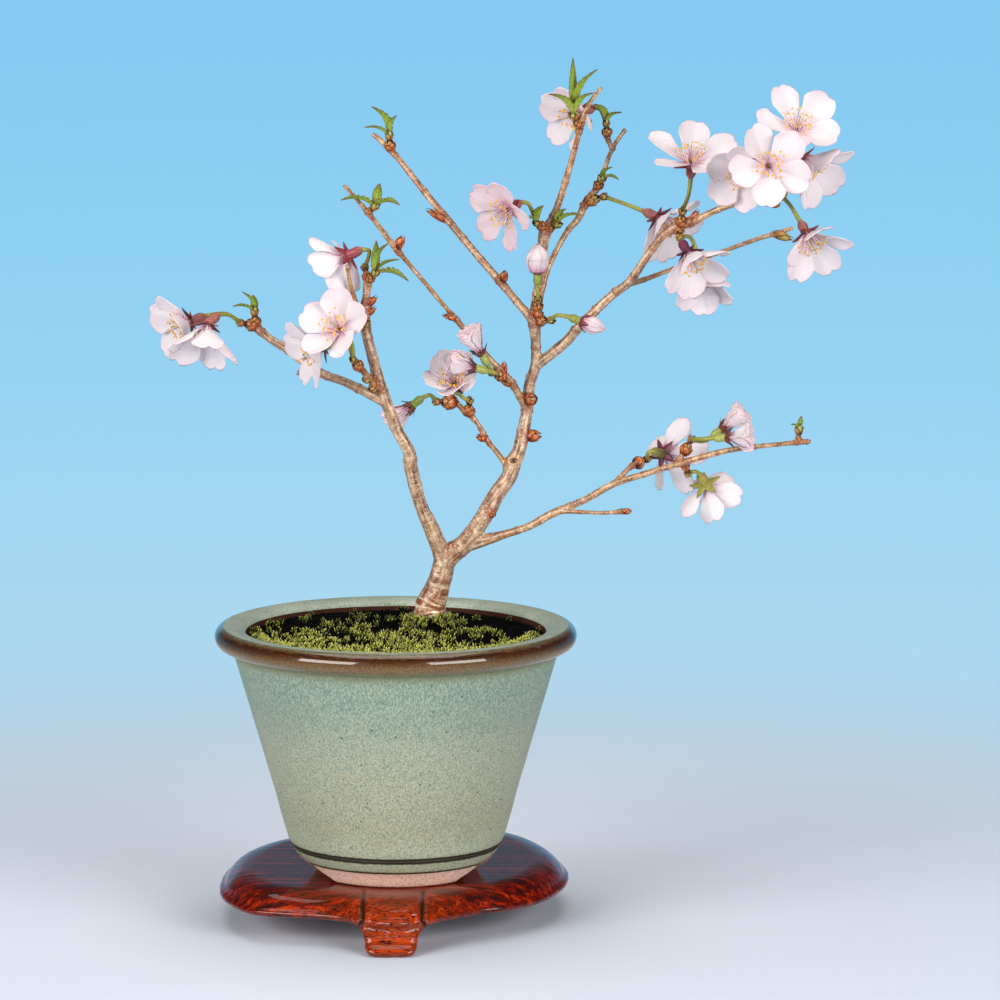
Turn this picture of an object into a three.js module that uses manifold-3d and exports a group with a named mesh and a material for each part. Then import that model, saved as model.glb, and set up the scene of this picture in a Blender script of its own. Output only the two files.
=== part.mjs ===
// Cherry blossom bonsai: a young cherry in flower, in a glazed round pot on a carved wooden stand.
// Millimetres, +Z up, the front towards -Y. While the pieces are made, the pot's axis is x = 0, y = 0 and
// the ground is z = 0; the finished group is then moved so that its origin is in the middle of its base.
import * as THREE from 'three';
import { mergeVertices } from 'three/addons/utils/BufferGeometryUtils.js';
import Module from 'manifold-3d';

const wasm = await Module();
wasm.setup();

// ---------------------------------------------------------------- driving dimensions
const GAP = 0.3; // clearance between pieces that touch

const STAND_TOP = 17.4;
const SLAB_UNDERSIDE = 8.8;
const EDGE_ROUND = 11; // how far in from the rim the top begins to round over
const LEG_WIDTH = 17.5;
const LEG_DEPTH = 13;
const FLARE_FROM = 6.2; // above this height a leg widens into the slab and stays inside its rim

const POT_FOOT = STAND_TOP + GAP;
const FOOT_RADIUS = 27.5;
const FOOT_RING = 5;
const FOOT_HOLLOW = 6.4;
const BELLY_RADIUS = 35; // where the foot ends and the wall starts
const BELLY_HEIGHT = 28;
const NECK_RADIUS = 53;
const NECK_HEIGHT = 89.5;
const WALL = 4.5;
const FLOOR_TOP = 30.5;
const BEAD_CENTRE = [56.6, 97.6]; // radius and height of the rolled lip's middle
const BEAD_RADIUS = 3.7;
const LIP_INNER = 50;
const DRAIN_RADIUS = 7.5;
const ARCH_WIDTH = 24;
const ARCH_RISE = 8.4;

const SOIL_EDGE = 97.5;
const SOIL_CROWN = 99.2;
const MOUND_RISE = 2.4;
const MOUND_SPREAD = 11;
const TRUNK_FOOT = [11.3, 12]; // where the trunk leaves the soil
const MESH_SIDE = 24;
const MESH_THICK = 1.2;
const MESH_PITCH = 6.5;
const MESH_HOLE = 4.6;

const BLADE = 0.7; // thickness of petals and young leaves
const CALYX_LENGTH = 5.4;
const CALYX_RADIUS = 1.75;
const STALK_RADIUS = 0.8;
const SEPAL_LENGTH = 4.6;
const SEPAL_LEAN = 20; // degrees by which sepals lean out more than the petals that they carry
const CLOSED_SEPAL_LEAN = 48;
const PETALS = 5;
const PETAL_CLEARANCE = 0.8; // between the edges of neighbouring petals
const WIDE_OPEN = 40; // degrees; flowers that lean out less than this are half open
const STAMEN_REACH = 4.5;
const LEAF_TIP = 0.35; // half the width of a young leaf at its narrowest
const ROOT_CLEARANCE = 1.2; // from a spur's tip to where its stalks meet
const KNOT_RADIUS = 1.3; // of the ruff of bracts there
const BUD_TIP = 0.8; // share of a bud's length that stands out from where it is rooted
const SCALY_FROM = 2; // buds thicker than this are made of many scales

const COLOURS = {
  glaze: ['#9aa88c', 0.35, 0],
  wood: ['#6b1a0c', 0.25, 0],
  soil: ['#1d1a14', 0.95, 0],
  plastic: ['#202226', 0.6, 0],
  bark: ['#a8835f', 0.7, 0],
  petal: ['#f7e3ea', 0.55, 0],
  stalk: ['#7d4a3c', 0.55, 0],
  leaf: ['#6f8f32', 0.55, 0],
};

// ---------------------------------------------------------------- helpers
const bonsai = new THREE.Group();
const vector = ([x, y, z]) => new THREE.Vector3(x, y, z);

function seededRandom(seed) {
  let state = seed;
  return () => {
    state = (state * 16807) % 2147483647;
    return state / 2147483647;
  };
}

function toSolid(geometry) {
  const bare = geometry.clone();
  bare.deleteAttribute('normal');
  bare.deleteAttribute('uv');
  const merged = mergeVertices(bare, 1e-4);
  const kept = [];
  const index = merged.index.array;
  for (let i = 0; i < index.length; i += 3) {
    const [a, b, c] = [index[i], index[i + 1], index[i + 2]];
    if (a !== b && b !== c && c !== a) kept.push(a, b, c);
  }
  return new wasm.Manifold(new wasm.Mesh({
    numProp: 3,
    vertProperties: Float32Array.from(merged.attributes.position.array),
    triVerts: Uint32Array.from(kept),
  }));
}

function toGeometry(solid) {
  const mesh = solid.getMesh();
  const geometry = new THREE.BufferGeometry();
  geometry.setAttribute('position', new THREE.BufferAttribute(Float32Array.from(mesh.vertProperties), 3));
  geometry.setIndex(new THREE.BufferAttribute(Uint32Array.from(mesh.triVerts), 1));
  const faceted = geometry.toNonIndexed();
  faceted.computeVertexNormals();
  return faceted;
}

const fuse = (solids) => solids.reduce((whole, part) => whole.add(part));

function addPiece(name, solid, finish) {
  const [colour, roughness, metalness] = COLOURS[finish];
  const material = new THREE.MeshStandardMaterial({ color: colour, roughness, metalness });
  const mesh = new THREE.Mesh(toGeometry(solid), material);
  mesh.name = name;
  bonsai.add(mesh);
}

// A closed profile of [radius, height] points turned round the Z axis.
function turned(profile, segments) {
  const outline = [...profile, profile[0]].map(([r, z]) => new THREE.Vector2(r, z));
  const geometry = new THREE.LatheGeometry(outline, segments);
  geometry.rotateX(Math.PI / 2);
  return geometry;
}

function sideAxes(tangent, reference) {
  const across = new THREE.Vector3().crossVectors(tangent, reference).normalize();
  const up = new THREE.Vector3().crossVectors(across, tangent);
  return [across, up];
}

// A round limb through [x, y, z, radius] stations, thicker and thinner as they say.
function limb(stations, sides, stepsPerSpan = 1) {
  const curve = new THREE.CatmullRomCurve3(stations.map(vector));
  const spans = stations.length - 1;
  const geometry = new THREE.CylinderGeometry(1, 1, 1, sides, spans * stepsPerSpan);
  const chord = vector(stations[spans]).sub(vector(stations[0])).normalize();
  const reference = Math.abs(chord.y) < 0.8 ? new THREE.Vector3(0, 1, 0) : new THREE.Vector3(0, 0, 1);
  const position = geometry.attributes.position;
  for (let i = 0; i < position.count; i += 1) {
    const along = Math.min(1, Math.max(0, position.getY(i) + 0.5));
    const span = Math.min(spans - 1, Math.floor(along * spans));
    const share = along * spans - span;
    const radius = stations[span][3] * (1 - share) + stations[span + 1][3] * share;
    const [across, up] = sideAxes(curve.getTangent(along), reference);
    const point = curve.getPoint(along);
    point.addScaledVector(across, position.getX(i) * radius);
    point.addScaledVector(up, position.getZ(i) * radius);
    position.setXYZ(i, point.x, point.y, point.z);
  }
  return toSolid(geometry);
}

// An egg-shaped bud or knot of overlapping scales, sunk a little into what it grows from.
function bud([x, y, z], direction, length, radius) {
  const scaly = radius > SCALY_FROM;
  const geometry = scaly ? new THREE.IcosahedronGeometry(1, 0) : new THREE.OctahedronGeometry(1, 0);
  geometry.scale(radius, length / 2, radius);
  geometry.translate(0, length * (BUD_TIP - 0.5), 0);
  const along = vector(direction).normalize();
  geometry.applyQuaternion(new THREE.Quaternion().setFromUnitVectors(new THREE.Vector3(0, 1, 0), along));
  geometry.translate(x, y, z);
  return toSolid(geometry);
}

// A closed body from its corner points and its triangles, each an outward-facing triple of point numbers.
function bodyOf(points, triangles) {
  const geometry = new THREE.BufferGeometry();
  const flat = points.flatMap((point) => [point.x, point.y, point.z]);
  geometry.setAttribute('position', new THREE.Float32BufferAttribute(flat, 3));
  geometry.setIndex(triangles.flat());
  return toSolid(geometry);
}

// The two faces of a blade at one place: its middle surface moved both ways along the normal there.
function bladeCorners(surface, t, s) {
  const step = 1e-3;
  const back = Math.min(t, 1 - step);
  const alongT = surface(back + step, s).sub(surface(back, s));
  const alongS = surface(t, s + step).sub(surface(t, s - step));
  const normal = new THREE.Vector3().crossVectors(alongT, alongS).normalize();
  return [1, -1].map((side) => surface(t, s).addScaledVector(normal, (side * BLADE) / 2));
}

// Triangles of one blade three points wide, given the point numbers of its rows on the upper and lower
// face. Both faces are split alike, mirrored about the midrib; the base row stays open.
function bladeFaces(upper, lower) {
  const triangles = [];
  const both = ([ra, ca], [rb, cb], [rc, cc]) => {
    triangles.push([upper[ra][ca], upper[rb][cb], upper[rc][cc]]);
    triangles.push([lower[ra][ca], lower[rc][cc], lower[rb][cb]]);
  };
  const wall = ([ra, ca], [rb, cb]) => {
    triangles.push([upper[ra][ca], upper[rb][cb], lower[rb][cb]]);
    triangles.push([upper[ra][ca], lower[rb][cb], lower[ra][ca]]);
  };
  const last = upper.length - 1;
  for (let row = 0; row < last; row += 1) {
    both([row, 0], [row + 1, 0], [row + 1, 1]);
    both([row, 0], [row + 1, 1], [row, 1]);
    both([row, 2], [row, 1], [row + 1, 1]);
    both([row, 2], [row + 1, 1], [row + 1, 2]);
    wall([row + 1, 0], [row, 0]);
    wall([row, 2], [row + 1, 2]);
  }
  wall([last, 2], [last, 1]);
  wall([last, 1], [last, 0]);
  return triangles;
}

// ---------------------------------------------------------------- stand
// The slab's outline as seen from above, fuller at the front left and drawn out at the back right.
const STAND_OUTLINE = [
  [-1, -52], [9, -49], [16, -42], [27, -32], [38, -25.5], [49, -13], [56, 6], [58, 25], [56, 42],
  [51, 59], [43, 74], [31, 83], [14, 86], [-8, 82], [-28, 73.5], [-43, 64], [-52, 51], [-57.5, 35],
  [-59.5, 14], [-58.5, -7], [-53.5, -23], [-47, -32], [-36, -36], [-24, -39], [-15, -44], [-9, -49.5],
];
const STAND_MIDDLE = [0, 12];
const LEGS = [ // foot position and the way each leg faces, in degrees
  [-1, -48.5, -90],
  [38, 46, 38],
  [-38, 46, 142],
];

const RIM_SEGMENTS = 36;
const rimPoints = STAND_OUTLINE.map(([x, y]) => new THREE.Vector3(x, y, 0));
const rim = new THREE.CatmullRomCurve3(rimPoints, true).getSpacedPoints(RIM_SEGMENTS);

function slab() {
  const half = (STAND_TOP - SLAB_UNDERSIDE) / 2;
  const middle = SLAB_UNDERSIDE + half;
  const profile = [[0, SLAB_UNDERSIDE], [1 - 5 / 60, SLAB_UNDERSIDE]];
  for (const [inset, height] of [[1.6, -0.7], [0, 0.05], [1.2, 0.6], [4.5, 0.9]]) {
    profile.push([1 - inset / 60, middle + height * half]);
  }
  profile.push([1 - EDGE_ROUND / 60, STAND_TOP], [0, STAND_TOP]);
  const points = profile.map(([r, z]) => new THREE.Vector2(r, z));
  const geometry = new THREE.LatheGeometry(points, RIM_SEGMENTS);
  geometry.rotateX(Math.PI / 2);
  const position = geometry.attributes.position;
  for (let i = 0; i < position.count; i += 1) {
    const reach = Math.hypot(position.getX(i), position.getY(i));
    const turn = Math.atan2(position.getY(i), position.getX(i)) / (2 * Math.PI);
    const step = Math.round((turn - Math.floor(turn)) * RIM_SEGMENTS) % RIM_SEGMENTS;
    const edge = rim[step];
    const x = STAND_MIDDLE[0] + (edge.x - STAND_MIDDLE[0]) * reach;
    const y = STAND_MIDDLE[1] + (edge.y - STAND_MIDDLE[1]) * reach;
    position.setXYZ(i, x, y, position.getZ(i));
  }
  return toSolid(geometry);
}

// How far the front of a leg stands out at a height: waisted under the slab, with a toe at the ground.
function toe(height) {
  const bulge = Math.exp(-(((height - 2.4) / 2.6) ** 2));
  return LEG_DEPTH / 2 - 3 + 3 * bulge;
}

function leg([x, y, facing]) {
  const half = LEG_WIDTH / 2;
  const shape = new THREE.Shape();
  shape.moveTo(-21, 12);
  shape.quadraticCurveTo(-12.5, 10.5, -half - 1, 7);
  shape.quadraticCurveTo(-half, 5.5, -half, 4);
  shape.quadraticCurveTo(-half, 0.6, -half + 3, 0);
  shape.lineTo(half - 3, 0);
  shape.quadraticCurveTo(half, 0.6, half, 4);
  shape.quadraticCurveTo(half, 5.5, half + 1, 7);
  shape.quadraticCurveTo(12.5, 10.5, 21, 12);
  const settings = { depth: LEG_DEPTH, bevelEnabled: false, curveSegments: 2 };
  const geometry = new THREE.ExtrudeGeometry(shape, settings);
  const position = geometry.attributes.position;
  for (let i = 0; i < position.count; i += 1) {
    const isFront = position.getZ(i) > LEG_DEPTH / 2;
    position.setZ(i, isFront ? toe(position.getY(i)) : -LEG_DEPTH / 2);
  }
  geometry.rotateX(Math.PI / 2);
  geometry.rotateZ(((facing + 90) * Math.PI) / 180);
  geometry.translate(x, y, 0);
  return toSolid(geometry);
}

// The room that the legs may fill: anything below the flares, and above them only what is under the slab.
function legRoom() {
  const inset = 0.985;
  const footprint = new THREE.Shape(rim.map(({ x, y }) => new THREE.Vector2(
    STAND_MIDDLE[0] + (x - STAND_MIDDLE[0]) * inset,
    STAND_MIDDLE[1] + (y - STAND_MIDDLE[1]) * inset,
  )));
  const under = new THREE.ExtrudeGeometry(footprint, { depth: 12, bevelEnabled: false });
  under.translate(0, 0, 2);
  const below = new THREE.BoxGeometry(200, 200, FLARE_FROM + 1);
  below.translate(0, 0, (FLARE_FROM - 1) / 2);
  return toSolid(under).add(toSolid(below));
}

const legs = fuse(LEGS.map(leg)).intersect(legRoom());
addPiece('stand', slab().add(legs), 'wood');

// ---------------------------------------------------------------- pot
const wallRadius = (z) => {
  const slope = (NECK_RADIUS - BELLY_RADIUS) / (NECK_HEIGHT - BELLY_HEIGHT);
  return BELLY_RADIUS + slope * (z - BELLY_HEIGHT);
};

function potBody() {
  const [beadR, beadZ] = BEAD_CENTRE;
  const hollowTop = POT_FOOT + FOOT_HOLLOW;
  const ringInner = FOOT_RADIUS - FOOT_RING;
  const profile = [
    [DRAIN_RADIUS, hollowTop],
    [ringInner - 1, hollowTop],
    [ringInner, POT_FOOT],
    [FOOT_RADIUS, POT_FOOT],
    [BELLY_RADIUS - 1.2, BELLY_HEIGHT - 2],
    [BELLY_RADIUS, BELLY_HEIGHT],
    [wallRadius(31) + 0.5, 31],
    [wallRadius(36) + 0.4, 36],
    [NECK_RADIUS, NECK_HEIGHT],
  ];
  const beadSteps = 5;
  for (let step = 0; step <= beadSteps; step += 1) {
    const angle = ((-110 + (200 * step) / beadSteps) * Math.PI) / 180;
    profile.push([beadR + BEAD_RADIUS * Math.cos(angle), beadZ + BEAD_RADIUS * Math.sin(angle)]);
  }
  profile.push(
    [LIP_INNER + 0.8, 100.4],
    [LIP_INNER, 99],
    [wallRadius(90) - WALL, 90],
    [wallRadius(36) - WALL, 36],
    [wallRadius(FLOOR_TOP) - WALL - 3, FLOOR_TOP],
    [DRAIN_RADIUS, FLOOR_TOP],
  );
  return toSolid(turned(profile, 36));
}

// One bell-shaped arch through the foot ring, between two of its three feet.
function footArch(direction) {
  const half = ARCH_WIDTH / 2;
  const shape = new THREE.Shape();
  shape.moveTo(-half, -1);
  shape.quadraticCurveTo(-half * 0.82, ARCH_RISE * 0.12, -half * 0.5, ARCH_RISE * 0.55);
  shape.quadraticCurveTo(-half * 0.25, ARCH_RISE, 0, ARCH_RISE);
  shape.quadraticCurveTo(half * 0.25, ARCH_RISE, half * 0.5, ARCH_RISE * 0.55);
  shape.quadraticCurveTo(half * 0.82, ARCH_RISE * 0.12, half, -1);
  const geometry = new THREE.ExtrudeGeometry(shape, { depth: 24, bevelEnabled: false, curveSegments: 3 });
  geometry.translate(0, 0, 17);
  geometry.rotateX(Math.PI / 2);
  geometry.rotateZ(((direction + 90) * Math.PI) / 180);
  geometry.translate(0, 0, POT_FOOT);
  return toSolid(geometry);
}

const ARCH_DIRECTIONS = [-20, 90, 200]; // the front foot is the widest of the three
addPiece('pot', potBody().subtract(fuse(ARCH_DIRECTIONS.map(footArch))), 'glaze');

// ---------------------------------------------------------------- tree: the wood
// Stations along each limb: x, y, z and the radius there.
const WOOD = {
  trunk: [
    [11, 12, 88, 5.2], [11, 12, 97, 6.6], [11.5, 12, 101, 5.9], [11.5, 12, 105.5, 5.2],
    [13.5, 11, 111, 4.3], [15, 10, 116, 3.9], [17, 10, 122, 3.7], [22.5, 10, 126.5, 3.3],
    [26.5, 11, 131.5, 3], [30, 12, 137, 2.8], [33.5, 13, 143, 2.8], [37.5, 14, 148.5, 2.7],
    [39, 14, 153.5, 2.9], [41, 14, 158, 2.3], [43.5, 15, 170, 2], [44.5, 15, 179.5, 1.9],
    [46.5, 14, 186.5, 1.8], [46.5, 14, 194.5, 1.7], [46, 13, 201.5, 2.1], [46.5, 12.5, 206, 1.5],
    [47, 12, 211, 1.5], [48.5, 11, 221, 1.3], [49, 10, 228.5, 1.9], [49.8, 9.5, 231.5, 1.9],
    [52, 9, 236, 1.3], [55, 8, 244, 1.2], [59.5, 6, 260, 1], [61.5, 4, 268.5, 1],
    [64, 3, 274.5, 0.8], [68, 1, 280, 0.7],
  ],
  left_leader: [
    [16.5, 10, 119, 3.2], [14.5, 9, 125.5, 2.9], [12, 7, 132, 2.7], [8, 5, 141.5, 2.2],
    [5, 3, 154, 2.4], [4.5, 2, 159, 2.1], [0.5, 1, 166.5, 2], [-3.5, 0, 177, 2.1],
    [-5.5, -1, 183.5, 1.9], [-9, -3, 197.5, 1.8], [-10, -4, 204.5, 1.7], [-9.5, -2, 210, 1.3],
    [-9, -1, 215, 1.3], [-8.5, -1, 218.5, 1],
  ],
  left_twig: [[-10, -4, 203, 1.3], [-12.5, -5, 208.5, 1], [-14.5, -7, 215.5, 0.8], [-15.5, -9, 222.5, 0.7]],
  left_arm: [
    [-4, 0, 176, 1.7], [-12, 2, 180, 1.6], [-18, 4, 182.5, 1.5], [-24.5, 6, 184.5, 1.5],
    [-31, 9, 188.5, 1.5], [-36, 11, 192, 1.5], [-41.5, 13, 195, 1.4], [-46.5, 15, 199, 1.3],
  ],
  left_front_spur: [[-4.5, -1, 180, 1.2], [-8.5, -5, 184.5, 1], [-11.5, -9, 188.5, 1]],
  back_left: [
    [46, 13, 201, 1.6], [41, 15, 206.5, 1.3], [34.5, 18, 214, 1.3], [25.5, 22, 224, 1.3],
    [11.5, 30, 240, 1.2], [4, 34, 249, 1], [-2, 37, 256, 1], [-8, 40, 261, 0.8],
  ],
  top_right: [
    [47, 12.5, 205, 1.3], [50.5, 17, 218, 1], [56.5, 21, 229.5, 1], [60.5, 23, 234, 1.2],
    [63.5, 24, 240, 1.2], [67, 25, 244.5, 1], [70, 27, 252, 0.8], [72.5, 28, 258, 0.8],
    [76.5, 30, 263.5, 0.7],
  ],
  top_right_spur: [[72.5, 28, 256.5, 0.8], [70.8, 27, 259.5, 0.8], [70.3, 26.5, 262, 0.8]],
  right: [
    [46.5, 14, 186, 1.8], [56, 11, 194, 1.8], [61, 9, 200, 1.7], [71.5, 6, 210.5, 1.5],
    [77.5, 4, 215.5, 1.5], [84, 1, 225.5, 1.3], [88.5, -1, 231.5, 1.4], [93, -2, 234.5, 1.6],
    [97.5, -4, 236, 1.3], [105, -7, 240, 1.1], [112.5, -10, 243, 1.1], [119, -9, 243.5, 1],
    [124, -7, 242, 0.8],
  ],
  right_back: [
    [75.5, 4, 214, 1.1], [83.5, 8, 216, 0.9], [91, 11, 218.5, 0.8], [106, 17, 223, 0.8],
    [119, 23, 227, 0.8], [132.5, 29, 230.5, 0.7],
  ],
  front_left: [
    [43.5, 15, 171, 1.3], [39, 9, 180.5, 1.2], [36, 7, 184, 1.1], [30, 5, 191, 1], [23.5, 3, 199, 1],
    [19, 1, 204.5, 0.8], [13.5, -3, 211.5, 0.8], [5, -9, 222.5, 0.8], [0.5, -14, 228.5, 1],
    [-8, -21, 240.5, 0.8], [-16, -26, 250.5, 0.7],
  ],
  low_left: [
    [37.5, 14, 151.5, 1.1], [33.5, 15, 157, 0.9], [30.5, 15.5, 160.5, 0.8], [27.5, 15.5, 166, 0.8],
    [24.5, 15, 169.5, 0.9], [21.5, 14, 172, 0.8], [18.5, 13, 176.5, 0.8],
  ],
  low_right: [
    [27.5, 11, 127, 1.9], [37, 8, 130.5, 1.4], [44.5, 5, 133.5, 1.3], [52, 3, 138, 1.4],
    [62.5, 0, 143, 1.2], [72.5, -3, 149, 1.2], [82, -6, 152.5, 1.1], [93.5, -9, 156.5, 1],
    [109.5, -13, 161.5, 1], [125, -17, 164, 0.8], [136.5, -20, 165.5, 0.8],
  ],
  low_right_twig: [[52, 3, 137.5, 1.1], [56, 1, 139, 0.8], [68.5, -5, 139.5, 0.7], [76, -8, 140.5, 0.8]],
  low_spur: [[72.5, -3, 149, 1], [77, -1, 153.5, 0.8], [79.5, 1, 155, 0.8]],
  low_upper_spur: [[92.5, -9, 156.5, 0.8], [95.3, -8, 160, 0.8]],
};

// Winter buds and knots: place, direction, length and radius.
const BUDS = [
  [[17.5, 9, 124.5], [0.4, -0.2, 0.9], 5, 1.1],
  [[31.5, 10.5, 137], [0.6, -0.8, -0.1], 3.4, 1],
  [[44, 14, 162.5], [1, -0.2, 0.1], 6, 1.9],
  [[44.5, 12.5, 175], [0.5, -0.9, 0.2], 4.5, 1.9],
  [[38, 9, 180.5], [-0.9, -0.2, 0.4], 4.5, 0.9],
  [[35.7, 6.8, 184.5], [0.1, -0.1, 1], 5.5, 1.1],
  [[35.5, 17, 214.5], [0.3, -0.4, 0.9], 5, 1.3],
  [[16.5, 27, 233.5], [-0.85, -0.2, 0.5], 10, 1.2],
  [[19.5, 1, 203.5], [-0.9, -0.2, 0.35], 5.5, 0.8],
  [[29.5, 15.5, 161.5], [-0.85, -0.3, 0.3], 4, 1.2],
  [[97.5, -4, 236.5], [0.5, -0.2, 0.85], 6, 1.1],
  [[126.5, 26.2, 228.8], [0.95, -0.1, -0.25], 8, 1.3],
  [[75.5, -8, 140.5], [1, -0.2, 0.1], 3.5, 0.9],
  [[-9, -3, 208.5], [0.7, -0.2, 0.7], 6, 1.1],
  [[-9.5, -3.5, 205.5], [0.8, -0.2, 0.6], 5.5, 1.1],
  [[-10, -4.5, 203], [-0.1, -1, 0.1], 4, 1.7],
  [[-6.5, -3, 181.5], [-0.5, -0.8, -0.2], 4.5, 1.5],
  [[-8.5, -4.5, 184.3], [-0.7, -0.7, 0], 4, 1.4],
  [[-27.5, 7.5, 186], [-0.9, -0.5, -0.2], 8, 1.4],
  [[46.5, 12, 203], [0.7, -0.8, 0.7], 5, 1.6],
  [[1, -14, 229], [0.5, -0.3, 0.9], 6, 1.4],
];

// The scaly spurs that flowers and leaves come out of.
const SPURS = {
  left_tip: { at: [-46.5, 15, 199.5], way: [-1, -0.2, 0.2], length: 5, radius: 1.9 },
  left_top: { at: [-9, 0, 216.5], way: [-0.2, 0.6, 0.8], length: 4.5, radius: 1.4 },
  left_front: { at: [-11.5, -9, 188.5], way: [-0.4, -0.6, 0.6], length: 4.5, radius: 1.7 },
  centre_low: { at: [24, 14.8, 169.7], way: [0.1, -0.2, 1], length: 4.5, radius: 1.9 },
  centre_left: { at: [36, 7, 183.5], way: [-0.75, -0.5, 0.3], length: 5, radius: 1.8 },
  upper_mid: { at: [49, 9, 233], way: [-0.5, -0.8, 0.4], length: 4.5, radius: 1.5 },
  top_right: { at: [70.3, 26.5, 262], way: [-0.1, -0.2, 1], length: 3.5, radius: 1.6 },
  top_node: { at: [46.8, 12, 205.5], way: [0.1, -0.9, 0.8], length: 5, radius: 1.7 },
  node_right: { at: [47, 12, 201.5], way: [0.9, -0.5, 0.1], length: 5, radius: 1.6 },
  right_upper: { at: [94, -3, 235], way: [0.1, -0.4, 0.9], length: 5, radius: 1.6 },
  right_end: { at: [124, -7, 242.3], way: [0.6, -0.3, 0.5], length: 4, radius: 1.6 },
  mid_right: { at: [63.5, 24, 240], way: [0.9, -0.4, 0.3], length: 6.5, radius: 1.8 },
  right_lower: { at: [93.3, -2, 233.6], way: [0.1, -0.6, -0.8], length: 2.4, radius: 1.6 },
  low_spur: { at: [79.5, 1, 155], way: [0.6, 0.4, 0.2], length: 4.5, radius: 1.9 },
  low_upper: { at: [95.3, -8, 160], way: [0.45, -0.1, 0.85], length: 5, radius: 1.8 },
  low_under: { at: [95.5, -9, 156.5], way: [0.3, 0.5, -0.8], length: 3.6, radius: 1.3 },
  low_left: { at: [19.5, 13.3, 174], way: [-1, -0.1, 0.05], length: 6, radius: 2.2 },
  leaf_top_left: { at: [-2, 37, 256], way: [-0.1, -0.2, 1], length: 4.5, radius: 1.6 },
  leaf_left_twig: { at: [-8.5, -21, 241], way: [0.6, -0.5, 0.6], length: 3, radius: 1 },
  leaf_left_spur: { at: [-8.8, -1, 216.5], way: [0.5, -0.6, 0.6], length: 4, radius: 1.4 },
  leaf_left_tip: { at: [-46.5, 15, 199.5], way: [-0.1, -0.2, 1], length: 4.5, radius: 1.6 },
  leaf_top: { at: [61.2, 4.5, 267], way: [-0.5, -0.5, 0.7], length: 4.5, radius: 1.5 },
  leaf_upper_mid: { at: [50, 9.3, 232.3], way: [0.7, -0.6, 0.4], length: 4.5, radius: 1.4 },
  leaf_top_right_low: { at: [67, 25, 244.5], way: [0.3, -0.7, 0.7], length: 4.5, radius: 1.4 },
  leaf_low_tip: { at: [132.5, -18.8, 165], way: [0.05, 0, 1], length: 3.6, radius: 0.9 },
};

// A point on the way out of a spur, measured beyond its tip.
function beyondSpur(name, distance) {
  const { at, way, length } = SPURS[name];
  return vector(at).addScaledVector(vector(way).normalize(), BUD_TIP * length + distance);
}

function limbSides(stations) {
  const thickest = Math.max(...stations.map((station) => station[3]));
  if (thickest > 3) return 8;
  return thickest > 2 ? 6 : 5;
}

const limbs = Object.values(WOOD).map((stations) => limb(stations, limbSides(stations)));
const buds = BUDS.map((row) => bud(...row));
const spurs = Object.values(SPURS).map(({ at, way, length, radius }) => bud(at, way, length, radius));
addPiece('tree_wood', fuse([...limbs, ...buds, ...spurs]), 'bark');

// ---------------------------------------------------------------- soil and drainage mesh
function soilBody() {
  const inside = (z) => wallRadius(z) - WALL - GAP;
  const profile = [
    [0, FLOOR_TOP + GAP],
    [inside(FLOOR_TOP) - 3.2, FLOOR_TOP + GAP],
    [inside(36) - 0.2, 36.2],
    [inside(90) - 0.1, 90],
    [inside(90) + 0.4, SOIL_EDGE],
    [40, SOIL_EDGE + 0.8],
    [30, SOIL_CROWN - 0.4],
    [20, SOIL_CROWN - 0.1],
    [10, SOIL_CROWN],
  ];
  const outline = [...profile, [0, SOIL_CROWN]].map(([r, z]) => new THREE.Vector2(r, z));
  const geometry = new THREE.LatheGeometry(outline, 22);
  geometry.rotateX(Math.PI / 2);
  const position = geometry.attributes.position;
  for (let i = 0; i < position.count; i += 1) {
    const [x, y, z] = [position.getX(i), position.getY(i), position.getZ(i)];
    const away = Math.hypot(x - TRUNK_FOOT[0], y - TRUNK_FOOT[1]) / MOUND_SPREAD;
    if (z > SOIL_EDGE) position.setZ(i, z + MOUND_RISE * Math.exp(-away * away));
  }
  return toSolid(geometry);
}

function trunkHole() {
  const stations = WOOD.trunk.slice(0, 4).map(([x, y, z, r], i) => [x, y, i === 0 ? z - GAP : z, r + GAP]);
  return limb(stations, 8);
}

function plate(side, thick, bottom, x = 0, y = 0) {
  const geometry = new THREE.BoxGeometry(side, side, thick);
  geometry.translate(x, y, bottom + thick / 2);
  return toSolid(geometry);
}

function drainageMesh() {
  const places = [-1, 0, 1].map((step) => step * MESH_PITCH);
  const whole = plate(MESH_SIDE, MESH_THICK, FLOOR_TOP + GAP);
  return places.reduce((rows, y) => places.reduce(
    (mesh, x) => mesh.subtract(plate(MESH_HOLE, MESH_THICK + 2, FLOOR_TOP - 0.7, x, y)),
    rows,
  ), whole);
}

const pocket = plate(MESH_SIDE + 2 * GAP, MESH_THICK + 3 * GAP, FLOOR_TOP - GAP);
addPiece('soil', soilBody().subtract(trunkHole()).subtract(pocket), 'soil');
addPiece('drainage_mesh', drainageMesh(), 'plastic');

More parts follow.
